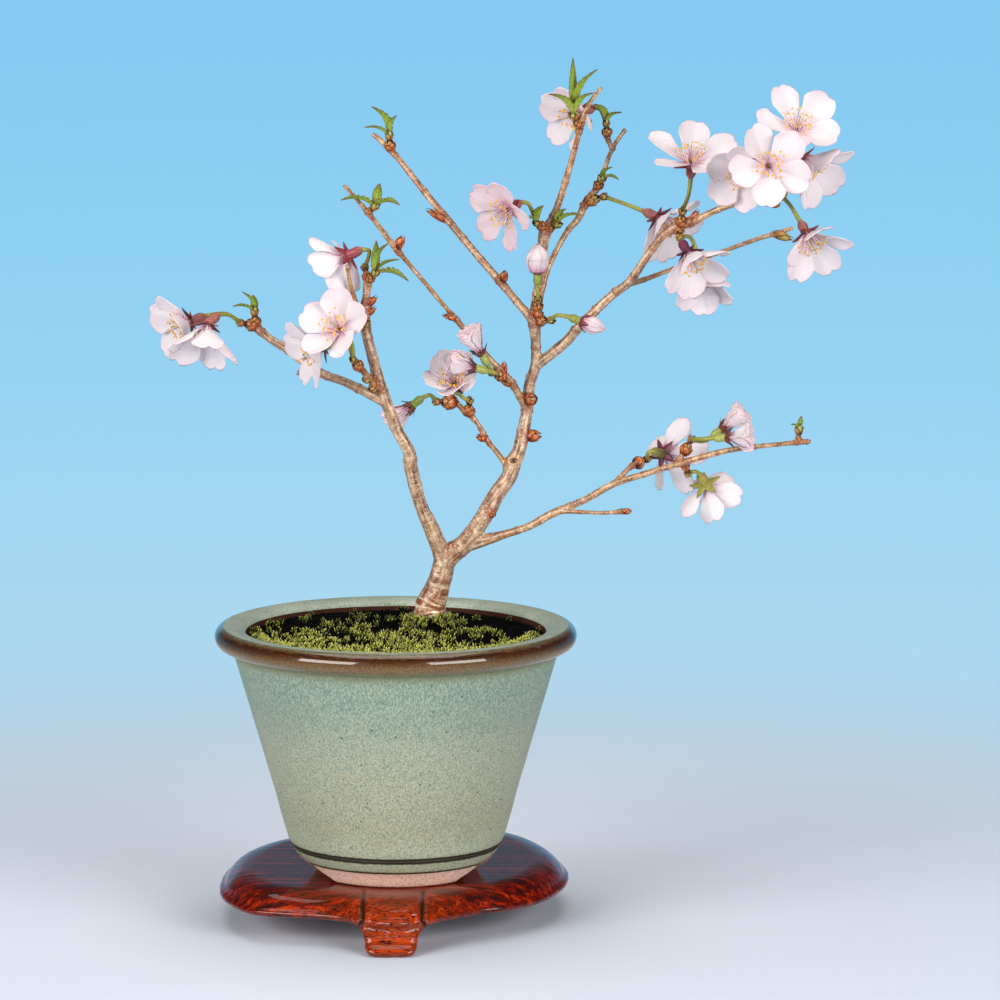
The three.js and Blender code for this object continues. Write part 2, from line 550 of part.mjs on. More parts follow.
// ---------------------------------------------------------------- flowers
// at: the throat, where the petals leave the calyx. faces: the way the flower looks. open: how far the
// petals lean out from that axis, in degrees; curl: how much more at the tip than at the base.
const flower = (at, faces, open, curl, roll, length, width) => (
  { at, faces, open, curl, roll, length, width }
);
const FLOWERS = {
  bloom_01: flower([-68.5, 23, 200], [-0.85, -0.45, -0.25], 52, -12, 12, 14, 4.75),
  bloom_02: flower([-62.3, 4.5, 201.3], [-0.15, -0.45, -0.88], 48, -12, 57, 16.2, 4.95),
  bloom_03: flower([-15.5, -2, 225], [-0.68, 0.42, -0.6], 60, -14, 8, 13, 5.1),
  bloom_04: flower([-17.5, -20, 202], [-0.42, -0.78, 0.46], 60, -12, 22, 13.5, 5.1),
  bloom_05: flower([-23.5, -10, 195.5], [-0.85, -0.35, -0.3], 56, -12, 20, 14, 4.2),
  bloom_06: flower([20, 8, 180.5], [-0.2, -0.75, 0.65], 46, -24, 60, 11.6, 4.6),
  bloom_07: flower([26.3, -6, 188], [-0.93, -0.15, 0.25], 20, 0, 10, 9, 2.8),
  bloom_08: flower([28.5, -4, 192.5], [-0.45, -0.2, 0.85], 22, 6, 40, 9.5, 3),
  bloom_09: flower([38, 2, 240], [-0.65, -0.7, -0.3], 66, -12, 70, 13.4, 4.6),
  bloom_10: flower([62, 22, 270], [-0.7, -0.65, -0.2], 54, -12, 6, 13.6, 4.6),
  bloom_11: flower([47, 4, 218.5], [0, -0.1, 1], 0, 0, 0, 9.5, 3.6),
  bloom_12: flower([61.5, 2, 202.5], [0.93, -0.15, -0.3], 0, 0, 0, 8, 2.6),
  bloom_13: flower([97.5, 1.5, 254.5], [0, -0.5, 0.86], 68, -12, 12, 16.2, 4.75),
  bloom_14: flower([114, -10, 253], [-0.25, -0.95, -0.2], 56, -12, 4, 12.8, 4.75),
  bloom_15: flower([121.5, -28, 257], [0.15, -0.97, 0.15], 62, -12, 46, 14.8, 5.1),
  bloom_16: flower([131.5, -8, 266.5], [0.15, -0.7, 0.7], 64, -12, 35, 15.2, 5.1),
  bloom_17: flower([134, -8, 257.5], [0.7, -0.48, -0.55], 48, -14, 48, 15.8, 5.1),
  bloom_18: flower([135.5, -2, 232], [0.35, -0.65, -0.65], 52, -12, 30, 15.2, 4.75),
  bloom_19: flower([87, 16.5, 235.5], [0.6, -0.5, -0.6], 60, -12, 8, 15.2, 4.75),
  bloom_20: flower([96.2, -9, 226.5], [0.4, -0.6, -0.7], 50, -14, 64, 14.8, 4.6),
  bloom_21: flower([101, 9, 219], [0.15, -0.6, -0.8], 42, -14, 64, 14.4, 4.6),
  bloom_22: flower([88.5, 4, 158], [0.65, 0.72, -0.25], 60, -10, 18, 15, 3.85),
  bloom_23: flower([107.8, -8, 168], [0.75, -0.1, 0.65], 22, 0, 0, 9.5, 2.9),
  bloom_24: flower([109, -18, 166.6], [0.95, -0.25, 0.1], 26, 0, 30, 8.6, 3.1),
  bloom_25: flower([102.5, -1, 148.5], [0.35, 0.6, -0.7], 60, -12, 28, 12.2, 4.2),
  bloom_26: flower([5.5, 9, 173.5], [-0.78, 0.1, -0.6], 24, 0, 0, 10, 2.9),
};

// Where a stalk has to go round a neighbour's petals, the place it bends at.
const BENDS = {
  bloom_02: [-55, 10, 203.5],
  bloom_15: [127.5, -21.5, 248],
  bloom_19: [76, 21, 239.5],
};

// Flowers that nod: the way their calyx points, where it isn't the way the flower faces.
const NODDING = {
  bloom_02: [-0.75, -0.4, -0.55],
  bloom_03: [-0.9, 0.25, -0.35],
  bloom_19: [0.9, -0.3, -0.35],
};

// The flowers whose stalks come out of each spur together.
const CLUSTERS = {
  left_tip: ['bloom_01', 'bloom_02'],
  left_top: ['bloom_03'],
  left_front: ['bloom_04', 'bloom_05'],
  centre_low: ['bloom_06'],
  centre_left: ['bloom_07', 'bloom_08'],
  upper_mid: ['bloom_09'],
  top_right: ['bloom_10'],
  top_node: ['bloom_11'],
  node_right: ['bloom_12'],
  right_upper: ['bloom_13'],
  right_end: ['bloom_14', 'bloom_15', 'bloom_16', 'bloom_17', 'bloom_18'],
  mid_right: ['bloom_19'],
  right_lower: ['bloom_20', 'bloom_21'],
  low_spur: ['bloom_22'],
  low_upper: ['bloom_23', 'bloom_24'],
  low_under: ['bloom_25'],
  low_left: ['bloom_26'],
};

// The flower's own axes: out along its axis, and two directions across it.
function flowerAxes(faces) {
  const axis = vector(faces).normalize();
  const upright = Math.abs(axis.z) < 0.9 ? new THREE.Vector3(0, 0, 1) : new THREE.Vector3(0, 1, 0);
  const right = new THREE.Vector3().crossVectors(upright, axis).normalize();
  return { axis, right, up: new THREE.Vector3().crossVectors(axis, right) };
}

// Directions at an angle round the flower: away from its axis, and sideways along the ring.
function around({ right, up }, degrees) {
  const turn = (degrees * Math.PI) / 180;
  return {
    outward: right.clone().multiplyScalar(Math.cos(turn)).addScaledVector(up, Math.sin(turn)),
    sideways: up.clone().multiplyScalar(Math.cos(turn)).addScaledVector(right, -Math.sin(turn)),
  };
}

const petalWidth = (t) => 0.16 + 1.06 * t ** 0.7 * Math.sqrt(Math.max(0, 1 - 0.85 * t ** 6));

// A petal as a surface: t from its base to its tip, s from edge to edge. It stays clear of the next one.
function petalSurface(shape, azimuth, vary) {
  const axes = flowerAxes(shape.faces);
  const { outward, sideways } = around(axes, azimuth);
  const lean = ((shape.open + vary.lean - shape.curl / 2) * Math.PI) / 180;
  const curl = (shape.curl * Math.PI) / 180;
  const twist = (vary.twist * Math.PI) / 180;
  return (t, s) => {
    const notch = 0.12 * Math.max(0, 1 - Math.abs(s) / 0.5) + 0.03 * s * s;
    const reach = shape.length * t * (1 - notch * t ** 6);
    const half = (curl * t) / 2;
    const bow = half === 0 ? 1 : Math.sin(half) / half;
    const away = 0.9 + reach * bow * Math.sin(lean + half);
    const middle = vector(shape.at)
      .addScaledVector(outward, away)
      .addScaledVector(axes.axis, 1 + reach * bow * Math.cos(lean + half));
    const slope = lean + curl * t;
    const inward = outward.clone().multiplyScalar(-Math.cos(slope))
      .addScaledVector(axes.axis, Math.sin(slope));
    const across = sideways.clone().multiplyScalar(Math.cos(twist))
      .addScaledVector(inward, Math.sin(twist));
    const room = away * Math.tan(Math.PI / PETALS) - PETAL_CLEARANCE;
    const width = Math.min(shape.width * petalWidth(t), room);
    return middle.addScaledVector(across, s * width).addScaledVector(inward, 0.28 * width * s * s);
  };
}

// The corolla as one body: five notched petals on a common ring, with a small cone of stamens in it.
function corolla(shape, random) {
  const axes = flowerAxes(shape.faces);
  const rows = [0.34, 0.7, 1];
  const points = [];
  const triangles = [];
  const add = (point) => points.push(point) - 1;
  const onAxis = (height) => add(vector(shape.at).addScaledVector(axes.axis, height));
  const onRing = (azimuth, radius, height) => {
    const { outward } = around(axes, azimuth);
    return add(vector(shape.at).addScaledVector(outward, radius).addScaledVector(axes.axis, height));
  };
  const pitch = 360 / PETALS;
  const ringPair = (azimuth) => [onRing(azimuth, 1.15, 1 + BLADE / 2), onRing(azimuth, 1.5, 1 - BLADE / 2)];
  const between = Array.from({ length: PETALS }, (_, k) => ringPair(shape.roll + pitch * (k + 0.5)));
  const stamenTip = onAxis(shape.open > WIDE_OPEN ? STAMEN_REACH : 3);
  const bottom = onAxis(GAP);
  for (let k = 0; k < PETALS; k += 1) {
    const vary = { lean: 9 * (random() - 0.5), twist: 8 + 5 * (random() - 0.5) };
    const azimuth = shape.roll + pitch * k + 3 * (random() - 0.5);
    const surface = petalSurface(shape, azimuth, vary);
    const base = [between[(k + PETALS - 1) % PETALS], ringPair(shape.roll + pitch * k), between[k]];
    const upper = [base.map(([inner]) => inner)];
    const lower = [base.map(([, outer]) => outer)];
    for (const t of rows) {
      const corners = [-1, 0, 1].map((s) => bladeCorners(surface, t, s).map(add));
      upper.push(corners.map(([inner]) => inner));
      lower.push(corners.map(([, outer]) => outer));
    }
    triangles.push(...bladeFaces(upper, lower));
    for (const side of [0, 1]) {
      triangles.push([stamenTip, upper[0][side], upper[0][side + 1]]);
      triangles.push([bottom, lower[0][side + 1], lower[0][side]]);
    }
  }
  return bodyOf(points, triangles);
}

// A flower bud still closed: an egg of petals wrapped round each other.
function closedBud(shape) {
  const { axis, right, up } = flowerAxes(shape.faces);
  const profile = [[0, 0], [0.55, 0.1], [0.95, 0.35], [1, 0.6], [0.62, 0.88], [0, 1]];
  const outline = profile.map(([r, t]) => new THREE.Vector2(r, t));
  const geometry = new THREE.LatheGeometry(outline, 2 * PETALS);
  const position = geometry.attributes.position;
  const place = new THREE.Matrix4().makeBasis(right, axis, up.clone().negate());
  for (let i = 0; i < position.count; i += 1) {
    const ridge = 1 + 0.07 * Math.cos(PETALS * Math.atan2(position.getZ(i), position.getX(i)));
    const reach = ridge * shape.width;
    const point = new THREE.Vector3(
      position.getX(i) * reach,
      GAP + position.getY(i) * shape.length,
      position.getZ(i) * reach,
    );
    point.applyMatrix4(place).add(vector(shape.at));
    position.setXYZ(i, point.x, point.y, point.z);
  }
  return toSolid(geometry);
}

const random = seededRandom(20260329);
for (const [name, shape] of Object.entries(FLOWERS)) {
  addPiece(name, shape.open > 0 ? corolla(shape, random) : closedBud(shape), 'petal');
}

// ---------------------------------------------------------------- flower stalks
// Stalk, calyx tube and five pointed sepals of one flower, from its throat down to the root by the spur.
function flowerStalk(name, root) {
  const shape = FLOWERS[name];
  const axes = flowerAxes(shape.faces);
  const at = vector(shape.at);
  const size = shape.open > WIDE_OPEN ? 1 : 0.85;
  const neck = vector(NODDING[name] ?? shape.faces).normalize();
  const calyxBase = at.clone().addScaledVector(neck, -CALYX_LENGTH * size);
  const straightOn = calyxBase.clone().addScaledVector(neck, -0.35 * calyxBase.distanceTo(root));
  const bend = BENDS[name] ? vector(BENDS[name]) : straightOn.lerp(root, 0.25);
  const stations = [0, 1.1, CALYX_LENGTH * size * 0.55, CALYX_LENGTH * size]
    .map((depth) => at.clone().addScaledVector(neck, -depth));
  stations.push(bend, root);
  const radii = [1.45 * size, 1.5 * size, CALYX_RADIUS * size, STALK_RADIUS, STALK_RADIUS, STALK_RADIUS];
  const points = [];
  const triangles = [];
  const add = (point) => points.push(point) - 1;
  const frame = { right: axes.right.clone(), up: axes.up.clone() };
  let heading = axes.axis.clone().negate();
  const pitch = 360 / PETALS;
  const rings = stations.map((station, i) => {
    const next = i < 2 ? heading : station.clone().sub(stations[i - 1]).normalize();
    const swing = new THREE.Quaternion().setFromUnitVectors(heading, next);
    frame.right.applyQuaternion(swing);
    frame.up.applyQuaternion(swing);
    heading = next;
    return Array.from({ length: PETALS }, (_, k) => {
      const { outward } = around(frame, shape.roll + pitch * k);
      return add(station.clone().addScaledVector(outward, radii[i]));
    });
  });
  const top = add(at.clone());
  const foot = add(root.clone());
  const lean = ((shape.open > 0 ? SEPAL_LEAN + 1.1 * shape.open : CLOSED_SEPAL_LEAN) * Math.PI) / 180;
  for (let k = 0; k < PETALS; k += 1) {
    const next = (k + 1) % PETALS;
    const { outward } = around(axes, shape.roll + pitch * (k + 0.5));
    const reach = SEPAL_LENGTH * size;
    const tip = add(at.clone()
      .addScaledVector(outward, 1.2 + reach * Math.sin(lean))
      .addScaledVector(axes.axis, -0.6 + reach * Math.cos(lean)));
    const [upper, lower] = rings;
    triangles.push([upper[k], tip, upper[next]], [lower[k], lower[next], tip]);
    triangles.push([tip, upper[k], lower[k]], [upper[next], tip, lower[next]]);
    triangles.push([top, upper[k], upper[next]]);
    for (let i = 1; i < rings.length - 1; i += 1) {
      triangles.push([rings[i][next], rings[i][k], rings[i + 1][k]]);
      triangles.push([rings[i][next], rings[i + 1][k], rings[i + 1][next]]);
    }
    triangles.push([foot, rings.at(-1)[next], rings.at(-1)[k]]);
  }
  return bodyOf(points, triangles);
}

// ---------------------------------------------------------------- young leaves
// Leaves that have just opened, as the tip and width of each. Some share a spur with flowers.
const BRACTS = {
  upper_mid: [[49, 1, 241, 3.2], [44.5, 0, 237, 3.2]],
  top_right: [[65.5, 18, 273, 3.4], [75, 20, 270, 2.6]],
};
const TUFTS = {
  top_left: [[-8.2, 31, 271, 4.2], [-10.6, 31, 264, 2.4], [0.3, 32, 268, 2.4]],
  left_twig: [[-17, -30, 246, 3.4], [-4.5, -26, 251, 3.2], [2, -30, 244.5, 4]],
  left_spur: [[-6, -5, 230, 3], [-2, -8, 229.5, 3.6], [1.5, -2, 223.5, 2.6], [4.5, -8, 217, 4.2]],
  left_tip: [[-51, 13, 211, 3.4], [-47.5, 17, 209.5, 2.6], [-54, 10, 206.5, 2.4]],
  top: [[58.5, -4, 290, 2.8], [66.5, -6, 286.5, 3.8], [50.5, -7, 278.5, 3.8], [65.5, -8, 279, 3]],
  upper_mid: [[56.5, 0, 240, 3], [61.5, -1, 238, 3]],
  top_right_low: [[72, 19, 252, 2.6], [74, 16, 248, 2.4]],
  low_tip: [[133.5, -20, 174, 1.8], [130, -22, 171.5, 1.8]],
};

// A toothed young leaf folded along its midrib and bent back, from its base to its tip.
function leafBlade(base, [x, y, z, width]) {
  const along = new THREE.Vector3(x, y, z).sub(base);
  const length = along.length();
  along.normalize();
  const upright = Math.abs(along.z) < 0.9 ? new THREE.Vector3(0, 0, 1) : new THREE.Vector3(0, 1, 0);
  const sideways = new THREE.Vector3().crossVectors(upright, along).normalize();
  const face = new THREE.Vector3().crossVectors(along, sideways);
  const teeth = [[0, 0.25], [0.42, 1], [0.55, 0.76], [1, 0.12]];
  const surface = (t, s) => {
    const next = Math.max(1, teeth.findIndex(([station]) => station >= t));
    const [[low, lowWidth], [high, highWidth]] = [teeth[next - 1], teeth[next]];
    const share = (t - low) / (high - low);
    const half = Math.max(LEAF_TIP, (width / 2) * (lowWidth * (1 - share) + highWidth * share));
    return base.clone()
      .addScaledVector(along, length * t)
      .addScaledVector(sideways, half * s)
      .addScaledVector(face, 0.5 * half * Math.abs(s) + 0.12 * length * Math.sin(Math.PI * t));
  };
  const points = [];
  const add = (point) => points.push(point) - 1;
  const rows = teeth.map(([t]) => [-1, 0, 1].map((s) => bladeCorners(surface, t, s).map(add)));
  const upper = rows.map((row) => row.map(([face]) => face));
  const lower = rows.map((row) => row.map(([, back]) => back));
  const close = [0, 1].flatMap((side) => [
    [upper[0][side], upper[0][side + 1], lower[0][side + 1]],
    [upper[0][side], lower[0][side + 1], lower[0][side]],
  ]);
  return bodyOf(points, [...bladeFaces(upper, lower), ...close]);
}

for (const [name, flowers] of Object.entries(CLUSTERS)) {
  const root = beyondSpur(name, ROOT_CLEARANCE);
  const stalks = flowers.map((flowerName) => flowerStalk(flowerName, root));
  const bracts = (BRACTS[name] ?? []).map((tip) => leafBlade(root, tip));
  const knot = bud(root.toArray(), SPURS[name].way, 3, KNOT_RADIUS);
  addPiece(`stalks_${name}`, fuse([knot, ...stalks, ...bracts]), 'stalk');
}

for (const [name, tips] of Object.entries(TUFTS)) {
  const from = beyondSpur(`leaf_${name}`, ROOT_CLEARANCE);
  const sheath = bud(from.toArray(), SPURS[`leaf_${name}`].way, 4, KNOT_RADIUS);
  addPiece(`leaves_${name}`, fuse([sheath, ...tips.map((tip) => leafBlade(from, tip))]), 'leaf');
}

// ---------------------------------------------------------------- placing
const bounds = new THREE.Box3().setFromObject(bonsai);
const middle = bounds.getCenter(new THREE.Vector3());
bonsai.position.set(-middle.x, -middle.y, -bounds.min.z);

export default bonsai;
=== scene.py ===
# %% [markdown]
# # A cherry blossom bonsai in Blender
# The finished part is already packed: its solids stand in one shared frame, in metres, with the ground
# at z = 0. This lesson dresses it. Each solid that is too plain to look at is replaced by a finer piece
# of the same form in the same place, and the one that is fine as it is only gets a material.

# %% Load the frame
import math
import random

import bmesh
import bpy
from mathutils import Matrix, Vector, kdtree, noise


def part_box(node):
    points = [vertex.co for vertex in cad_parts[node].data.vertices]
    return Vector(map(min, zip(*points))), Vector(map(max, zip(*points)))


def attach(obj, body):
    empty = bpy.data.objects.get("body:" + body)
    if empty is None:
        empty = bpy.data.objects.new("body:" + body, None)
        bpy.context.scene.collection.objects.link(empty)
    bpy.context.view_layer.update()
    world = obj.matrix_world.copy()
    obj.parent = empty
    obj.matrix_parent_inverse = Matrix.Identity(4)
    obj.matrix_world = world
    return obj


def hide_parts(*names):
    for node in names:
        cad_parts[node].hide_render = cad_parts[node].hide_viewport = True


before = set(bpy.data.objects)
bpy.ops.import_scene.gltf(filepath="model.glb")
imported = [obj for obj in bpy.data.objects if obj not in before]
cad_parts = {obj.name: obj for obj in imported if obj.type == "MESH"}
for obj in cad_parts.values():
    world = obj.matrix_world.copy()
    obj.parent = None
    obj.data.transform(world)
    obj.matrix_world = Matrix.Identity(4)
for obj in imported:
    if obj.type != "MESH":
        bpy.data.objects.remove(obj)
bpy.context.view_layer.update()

# %% [markdown]
# A bonsai is a thing of millimetres, so every shape below is worked out in millimetres from the pot's
# axis, the way a potter or a grower would measure it. One function carries a finished shape into the
# frame. The axis isn't typed in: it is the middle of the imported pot's box.

# %% Millimetres from the pot's axis
MM = 0.001
pot_low, pot_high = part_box("pot")
AXIS = Vector(((pot_low.x + pot_high.x) / 2, (pot_low.y + pot_high.y) / 2, 0))
INTO_FRAME = Matrix.Translation(AXIS) @ Matrix.Scale(MM, 4)
print("pot axis at", [round(value, 5) for value in AXIS])

# %% [markdown]
# The camera comes first, because everything is judged through it. It looks a little down on the pot from
# two metres away through a long lens, so that the rim shows as a slim ellipse and nothing is distorted.

# %% Camera
CAMERA_AT = (34.64, -2093.83, 461.58)
LOOKING_DOWN = 8.65
FOCAL_LENGTH = 230

camera_data = bpy.data.cameras.new("camera")
camera_data.lens = FOCAL_LENGTH
camera_data.sensor_width = 36
camera = bpy.data.objects.new("camera", camera_data)
camera.location = INTO_FRAME @ Vector(CAMERA_AT)
camera.rotation_euler = (math.radians(90 - LOOKING_DOWN), 0, 0)
bpy.context.scene.collection.objects.link(camera)
bpy.context.scene.camera = camera
bpy.context.scene.view_settings.view_transform = "Standard"

# %% [markdown]
# Materials are built from nodes. One small function adds a node: it sets the node's own settings, fills
# its inputs with values or links, and returns it. Filling is a function too, because each new material
# has a shader already, which only has to be filled. Another one turns the sRGB hex colours into the
# linear numbers that a renderer adds up.

# %% Colour and one node
def linear(code):
    """Linear red, green, blue and alpha from a colour such as #a0b1c2."""
    parts = [int(code[i:i + 2], 16) / 255 for i in (1, 3, 5)]
    return [c / 12.92 if c <= 0.04045 else ((c + 0.055) / 1.055) ** 2.4 for c in parts] + [1.0]


def fill(node, sockets):
    """Fills inputs, by name or number, each with a value or with the output that feeds it."""
    for key, value in sockets.items():
        if isinstance(value, bpy.types.NodeSocket):
            node.id_data.links.new(value, node.inputs[key])
        else:
            node.inputs[key].default_value = linear(value) if isinstance(value, str) else value


def add(tree, kind, sockets=None, stops=None, **settings):
    """Adds one node. sockets are its inputs, and stops the places and colours of a colour ramp."""
    node = tree.nodes.new("ShaderNode" + kind)
    for key, value in settings.items():
        setattr(node, key, value)
    fill(node, sockets or {})
    if stops:
        elements = node.color_ramp.elements
        while len(elements) < len(stops):
            elements.new(1)
        for element, (place, colour) in zip(elements, stops):
            element.position = place
            element.color = linear(colour) if isinstance(colour, str) else (colour, colour, colour, 1)
    return node


# %% Starting a material
def start_material(name):
    """A new material, its nodes, its shader, and object coordinates in millimetres from the pot's axis."""
    made = bpy.data.materials.new(name)
    made.use_nodes = True
    tree = made.node_tree
    shader = tree.nodes["Principled BSDF"]
    metres = add(tree, "TexCoord").outputs["Object"]
    places = add(tree, "Mapping", {"Vector": metres, "Scale": (1 / MM,) * 3, "Location": -AXIS / MM})
    return made, tree, shader, places.outputs["Vector"]


# %% [markdown]
# Four shapes make nearly everything here. A *loft* is a ring that is extruded again and again, and moved
# each time. A *tube* is a loft along a curved path. A *blade* is a grid laid on a curved surface and given
# a thickness. *Turning* spins a profile round an axis. Two numbers ride on each point: how far along and
# how far across its blade or tube it lies. The materials read them, so that a petal's blush follows the
# petal.

# %% Starting, marking and ending a shape
def new_shape(*tints):
    shape = bmesh.new()
    for name in ("along", "across", "kind"):
        shape.verts.layers.float.new(name)
    for name in tints:
        shape.verts.layers.float_color.new(name)
    return shape


def mark(shape, verts, **values):
    """Writes the same number on every given point, by the name of its layer."""
    for name, value in values.items():
        numbers = shape.verts.layers.float[name]
        for vert in verts:
            vert[numbers] = value


def paint(shape, slot, first=0):
    """Gives the faces, from this number on, the material in this slot of the piece."""
    for face in list(shape.faces)[first:]:
        face.material_index = slot


def meshed(name, shape):
    """Turns a finished shape into a mesh, and frees it."""
    mesh = bpy.data.meshes.new(name)
    shape.to_mesh(mesh)
    shape.free()
    return mesh


# %% Lofts and tubes
def loft(shape, rings, alongs=None):
    """A closed skin through rings of points: a circle, extruded ring by ring, with both ends filled."""
    along = shape.verts.layers.float["along"]
    alongs = alongs or [0.0] * len(rings)
    ring = bmesh.ops.create_circle(shape, segments=len(rings[0]), radius=1, cap_ends=True)["verts"]
    edges = list(dict.fromkeys(edge for vert in ring for edge in vert.link_edges))
    made = list(ring)
    for number, points in enumerate(rings):
        if number:
            grown = bmesh.ops.extrude_edge_only(shape, edges=edges)["geom"]
            fresh = {item for item in grown if isinstance(item, bmesh.types.BMVert)}
            edges = [item for item in grown
                     if isinstance(item, bmesh.types.BMEdge) and fresh.issuperset(item.verts)]
            ring = [next(e.other_vert(v) for e in v.link_edges if e.other_vert(v) in fresh) for v in ring]
            made += ring
        for vert, point in zip(ring, points):
            vert.co = point
            vert[along] = alongs[number]
    bmesh.ops.contextual_create(shape, geom=edges)
    return made


def smooth_path(stations, steps):
    """Points on a smooth curve through the stations, with every further number eased in the same way."""
    path = []
    last = len(stations) - 1
    for span in range(last):
        four = [stations[max(0, min(last, span + k))] for k in (-1, 0, 1, 2)]
        for step in range(steps):
            u = step / steps
            path.append([
                0.5 * (2 * b + (c - a) * u + (2 * a - 5 * b + 4 * c - d) * u * u
                       + (3 * b - a - 3 * c + d) * u ** 3)
                for a, b, c, d in zip(*four)
            ])
    return path + [list(stations[-1])]


def tube(shape, path, sides, alongs=None):
    """A tube through [x, y, z, radius] points that turns with its path without twisting."""
    centres = [Vector(point[:3]) for point in path]
    heading = (centres[1] - centres[0]).normalized()
    side = heading.orthogonal().normalized()
    rings = []
    for number, centre in enumerate(centres):
        before, after = centres[max(0, number - 1)], centres[min(len(centres) - 1, number + 1)]
        ahead = (after - before).normalized()
        side.rotate(heading.rotation_difference(ahead))
        heading = ahead
        other = heading.cross(side)
        radius = max(path[number][3], 0.02)
        rings.append([
            centre + radius * (math.cos(a) * side + math.sin(a) * other)
            for a in (2 * math.pi * k / sides for k in range(sides))
        ])
    return loft(shape, rings, alongs)


# %% Blades and turned shapes
def blade(shape, surface, rows, columns, thick):
    """A thin closed blade laid on surface(t, s): t runs from its base to its tip, s from edge to edge."""
    along, across = (shape.verts.layers.float[name] for name in ("along", "across"))
    grid = bmesh.ops.create_grid(shape, x_segments=columns, y_segments=rows, size=1)["verts"]
    for vert in grid:
        t, s = (vert.co.y + 1) / 2, vert.co.x
        vert[along], vert[across] = t, s
        vert.co = surface(t, s)
    faces = list(dict.fromkeys(face for vert in grid for face in vert.link_faces))
    bmesh.ops.solidify(shape, geom=faces, thickness=thick)
    return grid


def turned(shape, profile, steps):
    """A profile of (radius, height) points, spun once round the Z axis."""
    points = [shape.verts.new((radius, 0, height)) for radius, height in profile]
    edges = [shape.edges.new(pair) for pair in zip(points, points[1:])]
    bmesh.ops.spin(shape, geom=points + edges, axis=(0, 0, 1), cent=(0, 0, 0), angle=2 * math.pi,
                   steps=steps, use_merge=True)
    bmesh.ops.remove_doubles(shape, verts=shape.verts, dist=1e-4)


def merge_into(shape, part):
    """Adds a finished small shape to a large one, and frees it."""
    carried = meshed("carried", part)
    shape.from_mesh(carried)
    bpy.data.meshes.remove(carried)


# %% [markdown]
# The last helpers end each piece: they point the faces outwards, move the mesh from millimetres into the
# frame, give it its materials, hang it on the empty that it rides on, and hide the plain solid that it
# stands for.

# %% Finishing a piece
def loose_object(name, shape):
    bmesh.ops.recalc_face_normals(shape, faces=shape.faces)
    made = bpy.data.objects.new(name, meshed(name, shape))
    bpy.context.scene.collection.objects.link(made)
    return made


def finish_piece(made, materials, slot, *nodes, crease=180):
    made.data.transform(INTO_FRAME)
    made.data.shade_smooth()
    if crease < 180:
        made.data.set_sharp_from_angle(angle=math.radians(crease))
    for material in materials:
        made.data.materials.append(material)
    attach(made, "root")
    if nodes:
        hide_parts(*nodes)
    triangles = sum(len(face.vertices) - 2 for face in made.data.polygons)
    print(f"{made.name}: {triangles} triangles")
    return made


def bake_modifiers(made):
    """Replaces an object's mesh by what its modifiers make of it."""
    graph = bpy.context.evaluated_depsgraph_get()
    baked = bpy.data.meshes.new_from_object(made.evaluated_get(graph))
    made.modifiers.clear()
    made.data = baked


def melt(made, voxel):
    """Melts crossing shapes into one skin, and smooths the steps that the small cubes leave."""
    remesh = made.modifiers.new("one skin", "REMESH")
    remesh.mode = "VOXEL"
    remesh.voxel_size = voxel
    scraper = made.modifiers.new("scraper", "SMOOTH")
    scraper.factor = 0.5
    scraper.iterations = 3
    bake_modifiers(made)


# %% [markdown]
# ## Light
# The tree stands in a studio: a pale floor that fades into a blue distance, a soft box overhead, and two
# wide ones in front, left and right, which draw the two long highlights on the pot's rim. The blue is a
# backdrop that is lit behind the tree only. The room elsewhere has its colours at about a third of the
# brightness, and above the backdrop it is grey, so that glaze and lacquer keep their own colours. The
# floor is a disc whose edge fades away, so there is no wall for another view to run into.

# %% World
BACKDROP = [  # the rise of a line of sight over its length, and the colour that lies that way
    (-0.26, "#dcdfe6"), (-0.215, "#c9dbe9"), (-0.185, "#b2d7ed"), (-0.165, "#a9d8f0"), (-0.135, "#98d4f3"),
    (-0.08, "#85caf1"), (0.1, "#7cc2ec"), (0.24, "#54626f"), (0.5, "#50555c"),
]
LOWEST, HIGHEST = -0.3, 0.5
BACKDROP_EDGE = (0.9, 0.972)  # how squarely a line of sight points to the back where the lit part begins
ROOM_LIGHT = 0.36

world = bpy.data.worlds.new("studio")
bpy.context.scene.world = world
world.use_nodes = True
sky = world.node_tree
direction = add(sky, "TexCoord")
way = add(sky, "SeparateXYZ", {0: direction.outputs["Generated"]})
level = add(sky, "MapRange", {"Value": way.outputs["Z"], "From Min": LOWEST,
                              "From Max": HIGHEST}).outputs["Result"]
blue = add(sky, "ValToRGB", {"Fac": level},
           stops=[((rise - LOWEST) / (HIGHEST - LOWEST), colour) for rise, colour in BACKDROP]).outputs[0]
behind = add(sky, "MapRange", {"Value": way.outputs["Y"], "From Min": BACKDROP_EDGE[0],
                               "From Max": BACKDROP_EDGE[1], "To Min": ROOM_LIGHT,
                               "To Max": 1}).outputs["Result"]
sky.links.new(blue, sky.nodes["Background"].inputs["Color"])
sky.links.new(behind, sky.nodes["Background"].inputs["Strength"])

# %% Soft boxes
LAMP_WHITE = "#fff9f1"
TREE_MIDDLE = Vector((10, 0, 130))


def soft_box(name, place, size, power):
    """A rectangular area light, placed in millimetres, that looks at the middle of the tree."""
    data = bpy.data.lights.new(name, "AREA")
    data.shape = "RECTANGLE"
    data.size, data.size_y = size[0] * MM, size[1] * MM
    data.energy = power
    data.color = linear(LAMP_WHITE)[:3]
    lamp = bpy.data.objects.new(name, data)
    lamp.location = INTO_FRAME @ Vector(place)
    aim = INTO_FRAME @ TREE_MIDDLE - lamp.location
    lamp.rotation_euler = aim.to_track_quat("-Z", "Y").to_euler()
    bpy.context.scene.collection.objects.link(lamp)


soft_box("left_box", (-900, -950, 480), (900, 560), 17)
soft_box("right_box", (850, -1000, 480), (900, 560), 15.5)
soft_box("top_box", (0, 100, 1500), (1200, 1200), 12)

